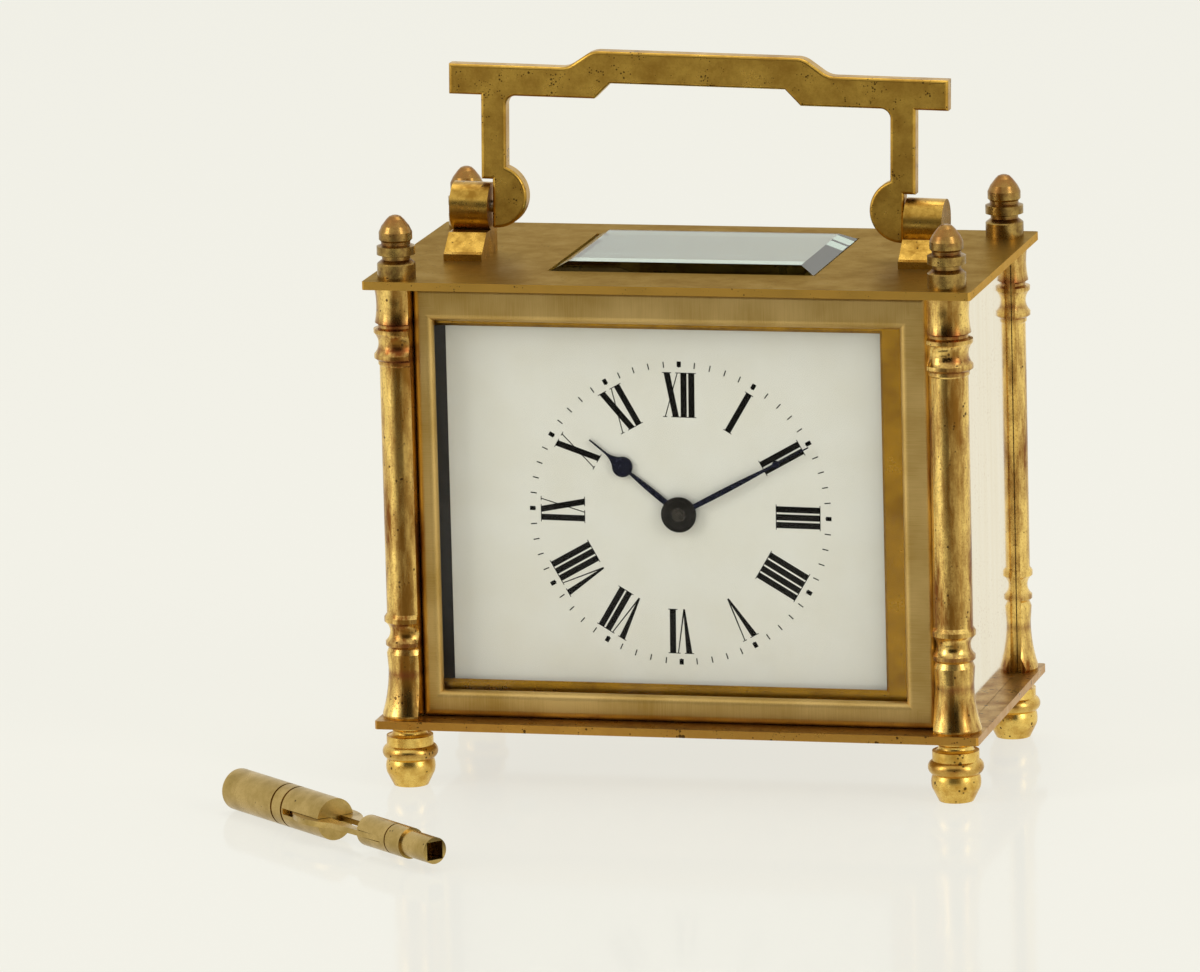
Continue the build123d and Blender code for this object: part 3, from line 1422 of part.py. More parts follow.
def movement_parts():
    parts = {
        "movement_front_plate": front_works_plate(), "movement_rear_plate": rear_works_plate(),
        "movement_pillars": pillars(),
        "movement_screws": pillar_screws() + movement_screws() + platform_screws(),
        "barrel": great_wheel(), "mainspring": mainspring(), "winding_arbor": winding_arbor(),
        "ratchet_wheel": ratchet_wheel(), "click": click(), "click_screw": click_screw(),
        "click_spring": click_spring(), "second_wheel": second_arbor(),
        "centre_wheel": centre_arbor(), "third_wheel": third_arbor(),
        "contrate_wheel": contrate_arbor(), "escape_wheel": escape_arbor(),
        "escape_foot": escape_foot(), "platform": platform(), "lever_bridge": lever_bridge(),
        "pallet_lever": pallet_lever(), "balance": balance(), "hairspring": hairspring(),
        "balance_cock": balance_cock(), "regulator": regulator(),
        "regulator_cap": regulator_cap(), "minute_wheel": minute_wheel(),
        "hour_wheel": hour_wheel(), "hand_arbor": set_arbor(), "hour_hand": hour_hand(),
        "minute_hand": minute_hand(), "hand_collet": hand_collet(),
    }
    return parts


def key_parts():
    return {"key_body": key_body(), "key_wing": key_wing(), "key_neck": key_neck()}


def corners(maker):
    """One solid for each of the four corners of the case."""
    return [maker(x, y) for x in (-1, 1) for y in (-1, 1)]


def write_parts():
    os.makedirs("parts", exist_ok=True)
    parts = case_parts() | movement_parts() | key_parts()
    for name, shape in parts.items():
        if isinstance(shape, list):
            shape = Compound(children=[solid for piece in shape for solid in piece.solids()])
        export_step(shape, f"parts/{name}.step")
    print(len(parts), "parts written")


write_parts()
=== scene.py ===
# %% [markdown]
# # A brass carriage clock
# The clock is a glazed brass box with four turned columns, a folding handle and a movement that shows
# through the roof glass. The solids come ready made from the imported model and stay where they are.
# What is left for this scene is how they look: worn gilding, brushed frames, fired enamel with its
# black print, bevelled glass and a pale studio.

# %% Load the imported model
import math

import bmesh
import bpy
from mathutils import Matrix, Vector


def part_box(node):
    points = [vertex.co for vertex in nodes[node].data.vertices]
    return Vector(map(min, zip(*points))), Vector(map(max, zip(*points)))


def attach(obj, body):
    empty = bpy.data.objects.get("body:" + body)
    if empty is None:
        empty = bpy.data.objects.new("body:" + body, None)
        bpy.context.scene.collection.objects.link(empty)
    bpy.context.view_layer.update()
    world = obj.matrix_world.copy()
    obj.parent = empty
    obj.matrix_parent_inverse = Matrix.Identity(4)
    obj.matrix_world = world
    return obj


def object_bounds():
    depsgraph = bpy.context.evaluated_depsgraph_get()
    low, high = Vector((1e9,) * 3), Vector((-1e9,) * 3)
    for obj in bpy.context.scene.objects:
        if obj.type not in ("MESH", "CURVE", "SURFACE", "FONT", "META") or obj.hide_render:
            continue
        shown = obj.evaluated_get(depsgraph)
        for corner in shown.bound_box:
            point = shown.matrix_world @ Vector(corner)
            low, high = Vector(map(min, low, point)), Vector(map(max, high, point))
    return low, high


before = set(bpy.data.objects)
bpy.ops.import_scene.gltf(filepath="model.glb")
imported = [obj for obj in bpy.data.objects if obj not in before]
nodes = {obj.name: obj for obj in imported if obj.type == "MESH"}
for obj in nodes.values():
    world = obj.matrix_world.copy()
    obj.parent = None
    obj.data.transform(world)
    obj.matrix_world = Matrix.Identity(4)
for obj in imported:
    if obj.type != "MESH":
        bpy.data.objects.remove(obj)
cad_box = [list(corner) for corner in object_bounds()]
MM = 0.001
box_in_mm = [[round(value / MM, 1) for value in corner] for corner in cad_box]
print(len(nodes), "nodes, box in mm", box_in_mm)

# %% [markdown]
# ## The camera
# The photograph was taken with a long lens from nearly two metres away, so the edges of the box hardly
# converge. The angles below were fitted to the corners of the case. The camera is built from three unit
# vectors: one towards the camera, one to its right and one upwards, then rolled by a degree and a half.

# %% Place the camera
camera_azimuth = math.radians(13.762)
camera_elevation = math.radians(11.365)
camera_roll = math.radians(-1.454)
camera_distance = 1.8815
aim_right = -0.019424
aim_up = 0.049883
lens_mm = 312.615
sensor_mm = 36.0

sin_a, cos_a = math.sin(camera_azimuth), math.cos(camera_azimuth)
sin_e, cos_e = math.sin(camera_elevation), math.cos(camera_elevation)
sin_r, cos_r = math.sin(camera_roll), math.cos(camera_roll)
back = Vector((sin_a * cos_e, -cos_a * cos_e, sin_e))
right = Vector((cos_a, sin_a, 0.0))
up = back.cross(right)
rolled_right = cos_r * right + sin_r * up
rolled_up = -sin_r * right + cos_r * up
place = back * camera_distance + right * aim_right + up * aim_up

lens = bpy.data.cameras.new("camera")
lens.lens = lens_mm
lens.sensor_width = sensor_mm
lens.clip_end = 20.0
camera = bpy.data.objects.new("camera", lens)
camera.matrix_world = Matrix.Translation(place) @ Matrix(
    (rolled_right, rolled_up, back)).transposed().to_4x4()
bpy.context.scene.collection.objects.link(camera)
bpy.context.scene.camera = camera
bpy.context.scene.view_settings.view_transform = "Standard"
print("camera at", [round(value, 3) for value in place])

# %% [markdown]
# ## Helpers for materials
# Every colour below is written as an sRGB hex code, as a colour picker shows it. Shaders calculate in
# linear light, so one function converts. Another adds a node, sets its values and joins its inputs,
# which keeps each material down to a readable list.

# %% Colours and nodes
def linear(code, alpha=1.0):
    """An sRGB hex code as the linear colour that a shader socket takes."""
    parts = [int(code[i:i + 2], 16) / 255 for i in (0, 2, 4)]
    curved = [c / 12.92 if c <= 0.04045 else ((c + 0.055) / 1.055) ** 2.4 for c in parts]
    return (*curved, alpha)


def add(tree, kind, inputs=(), stops=(), **settings):
    """Adds one node. inputs holds a value or another node's output for each socket."""
    node = tree.nodes.new(kind)
    for name, value in settings.items():
        setattr(node, name, value)
    for socket, value in dict(inputs).items():
        if isinstance(value, bpy.types.NodeSocket):
            tree.links.new(value, node.inputs[socket])
        else:
            node.inputs[socket].default_value = value
    for index, (position, code) in enumerate(stops):
        elements = node.color_ramp.elements
        stop = elements[index] if index < 2 else elements.new(position)
        stop.position = position
        stop.color = linear(code)
    return node


def material(name):
    """A new material with an empty node tree."""
    made = bpy.data.materials.new(name)
    made.use_nodes = True
    made.node_tree.nodes.clear()
    return made, made.node_tree


def per_mm(size):
    """The texture scale whose features are this many millimetres across."""
    return 1.0 / (size * MM)


def finish_with(tree, shader):
    """Joins a shader to the material's output."""
    return add(tree, "ShaderNodeOutputMaterial", {"Surface": shader.outputs[0]})


print("brass gold as linear light:", [round(value, 3) for value in linear("D9AE55")])

# %% [markdown]
# ## Worn gilded brass
# The columns, feet, finials, handle and plates are turned, cast or rolled brass that was polished and
# gilded long ago. The gilding is patchy: cloudy patches of darker metal, small black pits where the
# surface has corroded, and a coppery tint where it has worn through. One recipe covers them all.
# A coarse noise mixes the bright and the worn colour and makes the worn patches rougher. A fine grain,
# about a third of a millimetre across, and scattered pits from cell noise shape the bump. Where tarnish
# or wear has a place of its own, one more colour is laid over the patches: in turned grooves and on the
# edges of a plate. Down the side of a column that faces the front, a brown band is a painted reflection
# of the dark room in front of the clock.

# %% Worn brass
def worn_brass(name, bright, worn, pit, patch=6.0, pit_size=0.3, pit_share=0.3,
               gloss=(0.2, 0.36), depth=0.02, stretch=(1, 1, 1), bands=(), edge=None,
               rim="FFFFFF", streak=None):
    """Gilded brass with cloudy patches and pits; sizes in millimetres.

    bands holds (height, half width, colour, strength) for tarnish in grooves at a known height.
    edge is the colour of faces that look sideways on a flat plate, where the gilding was rubbed.
    rim is the tint of the metal's mirror image where one looks along the surface.
    streak is (degrees round from the front, degrees to its edge, colour, strength) of an upright
    band on a column, a painted reflection of the dark room in front of it."""
    grain_size = 0.35
    crowd_size = 2.6
    pit_spacing = 2.6
    made, tree = material(name)
    coords = add(tree, "ShaderNodeTexCoord")
    mapped = add(tree, "ShaderNodeMapping", {"Vector": coords.outputs["Object"], "Scale": stretch})
    cloud = add(tree, "ShaderNodeTexNoise", {"Vector": mapped.outputs[0], "Scale": per_mm(patch),
                                             "Detail": 8.0, "Roughness": 0.68})
    patches = add(tree, "ShaderNodeMapRange", {"Value": cloud.outputs["Fac"], "From Min": 0.42,
                                               "From Max": 0.64}, clamp=True)
    fine = add(tree, "ShaderNodeTexNoise", {"Vector": coords.outputs["Object"],
                                            "Scale": per_mm(grain_size), "Detail": 3.0})
    grains = add(tree, "ShaderNodeMapRange", {"Value": fine.outputs["Fac"], "From Min": 0.5,
                                              "From Max": 0.75, "To Max": 0.5}, clamp=True)
    cells = add(tree, "ShaderNodeTexVoronoi", {"Vector": coords.outputs["Object"],
                                               "Scale": per_mm(pit_size * pit_spacing)})
    share = add(tree, "ShaderNodeTexNoise", {"Vector": coords.outputs["Object"],
                                             "Scale": per_mm(crowd_size), "Detail": 3.0})
    crowd = add(tree, "ShaderNodeMapRange", {"Value": share.outputs["Fac"], "From Min": 0.46,
                                             "From Max": 0.7, "To Max": pit_share}, clamp=True)
    size = add(tree, "ShaderNodeSeparateColor", {0: cells.outputs["Color"]})
    reach = add(tree, "ShaderNodeMath", {0: crowd.outputs[0], 1: size.outputs[0]},
                operation="MULTIPLY")
    inside = add(tree, "ShaderNodeMath", {0: reach.outputs[0], 1: cells.outputs["Distance"]},
                 operation="SUBTRACT")
    pits = add(tree, "ShaderNodeMapRange", {"Value": inside.outputs[0], "From Min": -0.04,
                                            "From Max": 0.08, "To Max": 0.85}, clamp=True)
    metal = add(tree, "ShaderNodeMix", {0: patches.outputs[0], 6: linear(bright), 7: linear(worn)},
                data_type="RGBA")
    colour = add(tree, "ShaderNodeMix", {0: grains.outputs[0], 6: metal.outputs[2],
                                         7: linear(worn)}, data_type="RGBA")
    if edge:
        facing = add(tree, "ShaderNodeSeparateXYZ", {0: coords.outputs["Normal"]})
        flat = add(tree, "ShaderNodeMath", {0: facing.outputs["Z"]}, operation="ABSOLUTE")
        side = add(tree, "ShaderNodeMapRange", {"Value": flat.outputs[0], "From Min": 0.3,
                                                "From Max": 0.8, "To Min": 0.75, "To Max": 0.0},
                   clamp=True)
        colour = add(tree, "ShaderNodeMix", {0: side.outputs[0], 6: colour.outputs[2],
                                             7: linear(edge)}, data_type="RGBA")
    # Painted reflection: a brown band down the side of a column that faces the front, where polished
    # brass would mirror the dark room.
    if streak:
        round_by, half, code, strength = streak
        turn = math.radians(round_by)
        ahead = add(tree, "ShaderNodeVectorMath", {
            0: coords.outputs["Normal"], 1: (math.sin(turn), -math.cos(turn), 0.0)},
            operation="DOT_PRODUCT")
        facing_front_band = add(tree, "ShaderNodeMapRange", {
            "Value": ahead.outputs["Value"], "From Min": math.cos(math.radians(half)),
            "From Max": math.cos(math.radians(half * 0.45)), "To Max": strength * 2.0}, clamp=True)
        uneven = add(tree, "ShaderNodeMath", {0: facing_front_band.outputs[0], 1: cloud.outputs["Fac"]},
                     operation="MULTIPLY")
        colour = add(tree, "ShaderNodeMix", {0: uneven.outputs[0], 6: colour.outputs[2],
                                             7: linear(code)}, data_type="RGBA")
    height = add(tree, "ShaderNodeSeparateXYZ", {0: coords.outputs["Object"]})
    for level, half, code, strength in bands:
        apart = add(tree, "ShaderNodeMath", {0: height.outputs["Z"], 1: level * MM},
                    operation="SUBTRACT")
        away = add(tree, "ShaderNodeMath", {0: apart.outputs[0]}, operation="ABSOLUTE")
        ring = add(tree, "ShaderNodeMapRange", {"Value": away.outputs[0], "From Min": 0.0,
                                                "From Max": half * MM, "To Min": strength,
                                                "To Max": 0.0}, clamp=True)
        broken = add(tree, "ShaderNodeMath", {0: ring.outputs[0], 1: cloud.outputs["Fac"]},
                     operation="MULTIPLY")
        colour = add(tree, "ShaderNodeMix", {0: broken.outputs[0], 6: colour.outputs[2],
                                             7: linear(code)}, data_type="RGBA")
    colour = add(tree, "ShaderNodeMix", {0: pits.outputs[0], 6: colour.outputs[2],
                                         7: linear(pit)}, data_type="RGBA")
    matt = add(tree, "ShaderNodeMapRange", {"Value": cloud.outputs["Fac"], "From Min": 0.35,
                                            "From Max": 0.65, "To Min": gloss[0], "To Max": gloss[1]},
               clamp=True)
    ground = add(tree, "ShaderNodeMath", {0: fine.outputs["Fac"], 1: 0.3}, operation="MULTIPLY")
    relief = add(tree, "ShaderNodeMath", {0: ground.outputs[0], 1: pits.outputs[0]},
                 operation="SUBTRACT")
    bump = add(tree, "ShaderNodeBump", {"Height": relief.outputs[0], "Strength": 0.7,
                                        "Distance": depth * MM})
    shader = add(tree, "ShaderNodeBsdfPrincipled", {
        "Base Color": colour.outputs[2], "Metallic": 1.0, "Roughness": matt.outputs[0],
        "Specular Tint": linear(rim), "Normal": bump.outputs[0]})
    finish_with(tree, shader)
    return made


print("the recipe for worn brass is ready")

# %% [markdown]
# ## Nine finishes from one recipe
# Each kind of piece has worn in its own way. The turned columns and feet keep a bright gold, broken by
# dark patches that run along the columns and by reddish tarnish in the grooves. The front pair also has
# a brown streak down the side that faces the front, a painted reflection of the dark room there. The
# finials have worn to copper. The cast brackets and the handle are duller, the handle with many small
# pits. The rolled plates are flat and brown, with brighter edges. The mask lies behind glass and has
# kept an even colour.

# %% Finishes of the case
groove_brown = "7A3F22"
column_grooves = [(84.2, 1.6, groove_brown, 1.6), (79.6, 1.2, groove_brown, 1.3),
                  (77.6, 1.0, groove_brown, 1.2), (26.0, 1.2, groove_brown, 1.2),
                  (20.6, 1.2, groove_brown, 1.2)]
column_gilt = worn_brass("turned brass, gilded", "FAD67C", "84501E", "4A3014", patch=3.0,
                         gloss=(0.17, 0.33), pit_share=0.5, stretch=(1, 1, 0.22), bands=column_grooves)
# The front columns carry a painted reflection: a brown band down the side that faces the front.
gilt_with_painted_reflection = worn_brass("turned brass, dark reflection painted in front", "FAD67C", "84501E", "4A3014",
                         patch=3.0, gloss=(0.17, 0.33), pit_share=0.5, stretch=(1, 1, 0.22),
                         bands=column_grooves, streak=(20.0, 34.0, "805820", 0.8))
foot_gilt = worn_brass("turned brass feet, gilded", "F0CC6E", "C4963F", "3E290F", patch=4.0,
                       gloss=(0.22, 0.36), pit_share=0.6, bands=((6.2, 1.4, groove_brown, 0.9),))
cap_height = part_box("finials")[1].z / MM
finial_gilt = worn_brass("turned brass finials, worn to copper", "AA8C4C", "765A30", "3A2312",
                         patch=2.0, gloss=(0.2, 0.38),
                         bands=((cap_height - 1.0, 3.4, "9C6A38", 1.4),
                                (cap_height - 5.0, 0.5, "6E4020", 1.4),
                                (cap_height - 8.0, 0.7, "6E4020", 1.2)))
bracket_gilt = worn_brass("cast brass brackets, gilded", "CEA64E", "9A722A", "4C3512", patch=3.0,
                          gloss=(0.24, 0.38), pit_share=0.5)
handle_gilt = worn_brass("cast brass handle, dulled gilding", "CAA248", "A67E32", "3A2810",
                         patch=6.0, gloss=(0.26, 0.38), pit_share=0.65, pit_size=0.16)
roof_gilt = worn_brass("rolled brass roof plate, tarnished", "927438", "806230", "4E3418",
                       patch=7.0, gloss=(0.34, 0.46), pit_share=0.5, pit_size=0.2, edge="D8A84C",
                       rim="EEDDB8")
base_gilt = worn_brass("rolled brass base plate, tarnished", "BE984C", "946A34", "3A220E",
                       patch=4.0, gloss=(0.26, 0.42), pit_share=0.8, pit_size=0.22, edge="C89442")
mask_gilt = worn_brass("sheet brass mask, polished and gilded", "AC8028", "8C6622", "3A250E",
                       patch=7.0, gloss=(0.26, 0.4), pit_share=0.35)
print("worn brass in nine finishes")

# %% [markdown]
# ## Brushed frames
# The front frame and the rear door were finished with an abrasive block drawn across each member, and
# the marks meet at the corners along a mitre. A noise stretched by forty to one looks like such marks.
# Two of them, one for each direction, are chosen by comparing how far a point is from the nearest side
# edge and from the nearest upper or lower edge. Real marks are too fine to show at this distance, so
# these are drawn coarser, about 0.16 mm across.

# %% Brushed brass
def brushed_brass(name, node, light, dark):
    """Satin brass whose brush marks run across each member of a rectangular frame."""
    mark_width = 0.16
    mark_stretch = 0.025
    tone_size = 14.0
    low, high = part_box(node)
    middle = (low + high) / 2
    half = (high - low) / 2
    made, tree = material(name)
    coords = add(tree, "ShaderNodeTexCoord")
    apart = add(tree, "ShaderNodeSeparateXYZ", {0: coords.outputs["Object"]})
    edge = []
    for axis, name_out in ((0, "X"), (2, "Z")):
        moved = add(tree, "ShaderNodeMath", {0: apart.outputs[name_out], 1: middle[axis]},
                    operation="SUBTRACT")
        size = add(tree, "ShaderNodeMath", {0: moved.outputs[0]}, operation="ABSOLUTE")
        edge.append(add(tree, "ShaderNodeMath", {0: half[axis], 1: size.outputs[0]},
                        operation="SUBTRACT"))
    upright = add(tree, "ShaderNodeMath", {0: edge[0].outputs[0], 1: edge[1].outputs[0]},
                  operation="LESS_THAN")
    marks = []
    for stretch in ((1, 1, mark_stretch), (mark_stretch, 1, 1)):
        mapped = add(tree, "ShaderNodeMapping", {"Vector": coords.outputs["Object"],
                                                 "Scale": stretch})
        marks.append(add(tree, "ShaderNodeTexNoise", {"Vector": mapped.outputs[0],
                                                      "Scale": per_mm(mark_width), "Detail": 3.0,
                                                      "Roughness": 0.6}))
    brush = add(tree, "ShaderNodeMix", {0: upright.outputs[0], 2: marks[0].outputs["Fac"],
                                        3: marks[1].outputs["Fac"]})
    cloud = add(tree, "ShaderNodeTexNoise", {"Vector": coords.outputs["Object"],
                                             "Scale": per_mm(tone_size), "Detail": 3.0})
    both = add(tree, "ShaderNodeMix", {0: 0.72, 2: brush.outputs[0], 3: cloud.outputs["Fac"]})
    colour = add(tree, "ShaderNodeValToRGB", {0: both.outputs[0]}, stops=((0.36, dark), (0.62, light)))
    bump = add(tree, "ShaderNodeBump", {"Height": brush.outputs[0], "Strength": 0.5,
                                        "Distance": 0.005 * MM})
    matt = add(tree, "ShaderNodeMapRange", {"Value": brush.outputs[0], "To Min": 0.34,
                                            "To Max": 0.5}, clamp=True)
    shader = add(tree, "ShaderNodeBsdfPrincipled", {
        "Base Color": colour.outputs[0], "Metallic": 1.0, "Roughness": matt.outputs[0],
        "Normal": bump.outputs[0]})
    finish_with(tree, shader)
    return made


frame_brushed = brushed_brass("brushed brass front frame", "front_frame", "D6B674", "B4924C")
door_brushed = brushed_brass("brushed brass door frame", "door_frame", "D6B674", "B4924C")
print("brushed brass for the two frames")

# %% [markdown]
# ## Sheet brass sides
# The side panels are thin rolled sheet that was lacquered and kept its polish, so they show the room
# nearly like a mirror, in a pale straw colour. Age has left fine brown specks and faint upright streaks.
# The faces that look into the case are painted nearly black, a painted shade that keeps bright mirror
# images out of the shaded inside. One material does both: what lies deeper than a thin skin behind the
# outer face gets the painted shade.

# %% Pale sheet brass
sheet_bright, tree = material("rolled sheet brass, lacquered")
coords = add(tree, "ShaderNodeTexCoord")
specks = add(tree, "ShaderNodeTexVoronoi", {"Vector": coords.outputs["Object"],
                                            "Scale": per_mm(0.7)})
density = add(tree, "ShaderNodeTexNoise", {"Vector": coords.outputs["Object"],
                                           "Scale": per_mm(6.0), "Detail": 4.0})
reach = add(tree, "ShaderNodeMath", {0: density.outputs["Fac"], 1: 0.56}, operation="MULTIPLY")
inside = add(tree, "ShaderNodeMath", {0: reach.outputs[0], 1: specks.outputs["Distance"]},
             operation="SUBTRACT")
speck = add(tree, "ShaderNodeMapRange", {"Value": inside.outputs[0], "From Min": 0.06,
                                         "From Max": 0.18, "To Max": 0.45}, clamp=True)
tall = add(tree, "ShaderNodeMapping", {"Vector": coords.outputs["Object"], "Scale": (1, 1, 0.05)})
streak = add(tree, "ShaderNodeTexNoise", {"Vector": tall.outputs[0], "Scale": per_mm(2.0),
                                          "Detail": 3.0})
sheet = add(tree, "ShaderNodeValToRGB", {0: streak.outputs["Fac"]},
            stops=((0.25, "F0E4C8"), (0.75, "F6EDD8")))
spotted = add(tree, "ShaderNodeMix", {0: speck.outputs[0], 6: sheet.outputs[0],
                                      7: linear("BE9660")}, data_type="RGBA")
place_x = add(tree, "ShaderNodeSeparateXYZ", {0: coords.outputs["Object"]})
sideways = add(tree, "ShaderNodeMath", {0: place_x.outputs["X"]}, operation="ABSOLUTE")
panel_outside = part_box("side_panel_right")[1].x
panel_skin = 0.3 * MM
# Painted shade: the inner faces get a near black colour and a duller finish in place of the shade inside
# the case.
inner_face_painted_shade = add(tree, "ShaderNodeMath", {0: sideways.outputs[0],
                                          1: panel_outside - panel_skin}, operation="LESS_THAN")
colour = add(tree, "ShaderNodeMix", {0: inner_face_painted_shade.outputs[0], 6: spotted.outputs[2],
                                     7: linear("140F0A")}, data_type="RGBA")
shine = add(tree, "ShaderNodeMapRange", {"Value": streak.outputs["Fac"], "To Min": 0.02,
                                         "To Max": 0.12}, clamp=True)
matt = add(tree, "ShaderNodeMix", {0: inner_face_painted_shade.outputs[0], 2: shine.outputs[0], 3: 0.6})
bump = add(tree, "ShaderNodeBump", {"Height": streak.outputs["Fac"], "Strength": 0.3,
                                    "Distance": 0.004 * MM})
finish_with(tree, add(tree, "ShaderNodeBsdfPrincipled", {
    "Base Color": colour.outputs[2], "Metallic": 1.0, "Roughness": matt.outputs[0],
    "Normal": bump.outputs[0]}))
print("sheet brass for the side panels, bright outside and dark inside")

# %% [markdown]
# ## Enamel, glass and print
# The dial is copper coated with white glass frit and fired, so it is milky, very smooth and faintly
# uneven. The black marks are the same glass with a dark pigment. The roof pane is thick plate glass with
# a green cast and a wide bevel. Glass in this scene refracts for the camera but lets lamp light straight
# through, which keeps the dial behind it evenly lit. The flat panes of the front and the door bend light
# less than real glass, so that they mirror less of the pale floor over the black numerals.

# %% Enamel and black print
def fired_enamel(name, light, dark, gloss, sheen=0.5):
    """Glossy glass enamel with a faint waviness from the firing."""
    made, tree = material(name)
    coords = add(tree, "ShaderNodeTexCoord")
    wave = add(tree, "ShaderNodeTexNoise", {"Vector": coords.outputs["Object"],
                                            "Scale": per_mm(9.0), "Detail": 2.0})
    tone = add(tree, "ShaderNodeValToRGB", {0: wave.outputs["Fac"]},
               stops=((0.3, dark), (0.7, light)))
    bump = add(tree, "ShaderNodeBump", {"Height": wave.outputs["Fac"], "Strength": 0.4,
                                        "Distance": 0.02 * MM})
    finish_with(tree, add(tree, "ShaderNodeBsdfPrincipled", {
        "Base Color": tone.outputs[0], "Roughness": gloss, "IOR": 1.5,
        "Specular IOR Level": sheen, "Normal": bump.outputs[0]}))
    return made


enamel = fired_enamel("fired white enamel", "FCFCFA", "F8F7F2", 0.16)
print_black = fired_enamel("fired black enamel", "100E0B", "080706", 0.45, 0.05)
print("enamel and print")

# %% Plate glass
def plate_glass(name, tint, bending):
    """Clear glass; lamp light passes it without being bent."""
    made, tree = material(name)
    coords = add(tree, "ShaderNodeTexCoord")
    dust = add(tree, "ShaderNodeTexNoise", {"Vector": coords.outputs["Object"],
                                            "Scale": per_mm(4.0), "Detail": 5.0})
    matt = add(tree, "ShaderNodeMapRange", {"Value": dust.outputs["Fac"], "From Min": 0.5,
                                            "To Min": 0.0, "To Max": 0.012}, clamp=True)
    glass = add(tree, "ShaderNodeBsdfPrincipled", {
        "Base Color": linear(tint), "Roughness": matt.outputs[0], "IOR": bending,
        "Transmission Weight": 1.0})
    clear = add(tree, "ShaderNodeBsdfTransparent", {0: linear("FBFCFA")})
    path = add(tree, "ShaderNodeLightPath")
    lit_through = add(tree, "ShaderNodeMath", {0: path.outputs["Is Shadow Ray"],
                                               1: path.outputs["Is Diffuse Ray"]},
                      operation="MAXIMUM")
    finish_with(tree, add(tree, "ShaderNodeMixShader", {
        0: lit_through.outputs[0], 1: glass.outputs[0], 2: clear.outputs[0]}))
    return made


pane_index = 1.18
bevel_index = 1.5
pane_glass = plate_glass("plate glass", "FCFCFA", pane_index)
bevel_glass = plate_glass("thick bevelled plate glass", "CCE2D6", bevel_index)
print("two kinds of glass")

# %% [markdown]
# ## Steel and the movement
# Arbors, springs and screws are steel, some polished bright, some dark with oil and some heated until
# they turned blue black. The movement's plates and wheels are brass that was drawn upright over an
# abrasive and lacquered, brighter and more even than the case. The grain of all of these is drawn coarser
# than the real one, 0.2 to 0.6 mm across, so that it shows. The key is bare brass that has gone olive
# brown from handling, and it uses the recipe for worn brass.

# %% Steel, clock brass and key brass
def grained_metal(name, light, dark, gloss, grain=0.6, stretch=(1, 1, 1)):
    """A fine, even metal surface with a little tone variation."""
    made, tree = material(name)
    coords = add(tree, "ShaderNodeTexCoord")
    mapped = add(tree, "ShaderNodeMapping", {"Vector": coords.outputs["Object"], "Scale": stretch})
    noise = add(tree, "ShaderNodeTexNoise", {"Vector": mapped.outputs[0], "Scale": per_mm(grain),
                                             "Detail": 5.0})
    tone = add(tree, "ShaderNodeValToRGB", {0: noise.outputs["Fac"]},
               stops=((0.35, dark), (0.65, light)))
    matt = add(tree, "ShaderNodeMapRange", {"Value": noise.outputs["Fac"], "To Min": gloss[0],
                                            "To Max": gloss[1]}, clamp=True)
    bump = add(tree, "ShaderNodeBump", {"Height": noise.outputs["Fac"], "Strength": 0.35,
                                        "Distance": 0.008 * MM})
    finish_with(tree, add(tree, "ShaderNodeBsdfPrincipled", {
        "Base Color": tone.outputs[0], "Metallic": 1.0, "Roughness": matt.outputs[0],
        "Normal": bump.outputs[0]}))
    return made


clock_brass = grained_metal("grained clock brass, lacquered", "DDBB70", "CFAB60", (0.2, 0.34),
                            grain=0.25, stretch=(1, 1, 0.04))
steel = grained_metal("polished steel", "C2C3C5", "B4B5B8", (0.16, 0.28), grain=0.2)
blued = grained_metal("blued steel", "26283A", "14151F", (0.16, 0.34))
arbor_dark = grained_metal("oiled dark steel", "4A4640", "2E2B27", (0.2, 0.34), grain=0.3)
collet_black = grained_metal("blackened steel collet", "2A2724", "12110F", (0.3, 0.5), grain=0.4)
key_brass = worn_brass("aged brass key", "C0A466", "A2884A", "3A2E16", patch=5.0,
                       gloss=(0.24, 0.36), pit_share=0.35)
print("steel, movement brass and key brass")

# %% [markdown]
# ## Which piece has which finish
# The table below is the whole paint shop: each finish with the nodes that carry it. The last line
# prints the names of any nodes that were forgotten.

# %% Assign the finishes
finishes = {
    gilt_with_painted_reflection: "column_front_left column_front_right",
    column_gilt: "column_rear_left column_rear_right",
    foot_gilt: "feet",
    finial_gilt: "finials",
    bracket_gilt: "handle_bracket_left handle_bracket_right door_knob",
    handle_gilt: "handle",
    roof_gilt: "top_plate glass_keeper",
    base_gilt: "bottom_plate",
    mask_gilt: "mask",
    frame_brushed: "front_frame",
    door_brushed: "door_frame",
    sheet_bright: "side_panel_left side_panel_right",
    enamel: "dial",
    pane_glass: "front_glass door_glass",
    bevel_glass: "top_glass",
    clock_brass: "movement_front_plate movement_rear_plate movement_pillars barrel second_wheel "
                 "centre_wheel third_wheel contrate_wheel escape_wheel escape_foot platform "
                 "lever_bridge balance balance_cock minute_wheel hour_wheel",
    steel: "roof_screws mask_screws handle_pins movement_screws winding_arbor "
           "ratchet_wheel click click_spring mainspring pallet_lever regulator regulator_cap",
    arbor_dark: "hand_arbor door_hinge_pins",
    blued: "hour_hand minute_hand hairspring click_screw",
    collet_black: "hand_collet",
    key_brass: "key_body key_wing key_neck",
}
painted = set()
for finish, names in finishes.items():
    for name in names.split():
        mesh = nodes[name].data
        mesh.materials.clear()
        mesh.materials.append(finish)
        painted.add(name)
forgotten = sorted(set(nodes) - painted)
print(len(painted), "nodes have a finish, forgotten:", forgotten)

# %% [markdown]
# ## The print on the dial
# The numerals are read from the middle of the dial, their tops outwards, and four is written with four
# strokes. Each numeral is built from flat strokes: a thick one for the downstroke, a hairline for the
# upstroke of V and X, and thin serifs across the ends. They are raised by the thickness of fired
# enamel, a few hundredths of a millimetre.

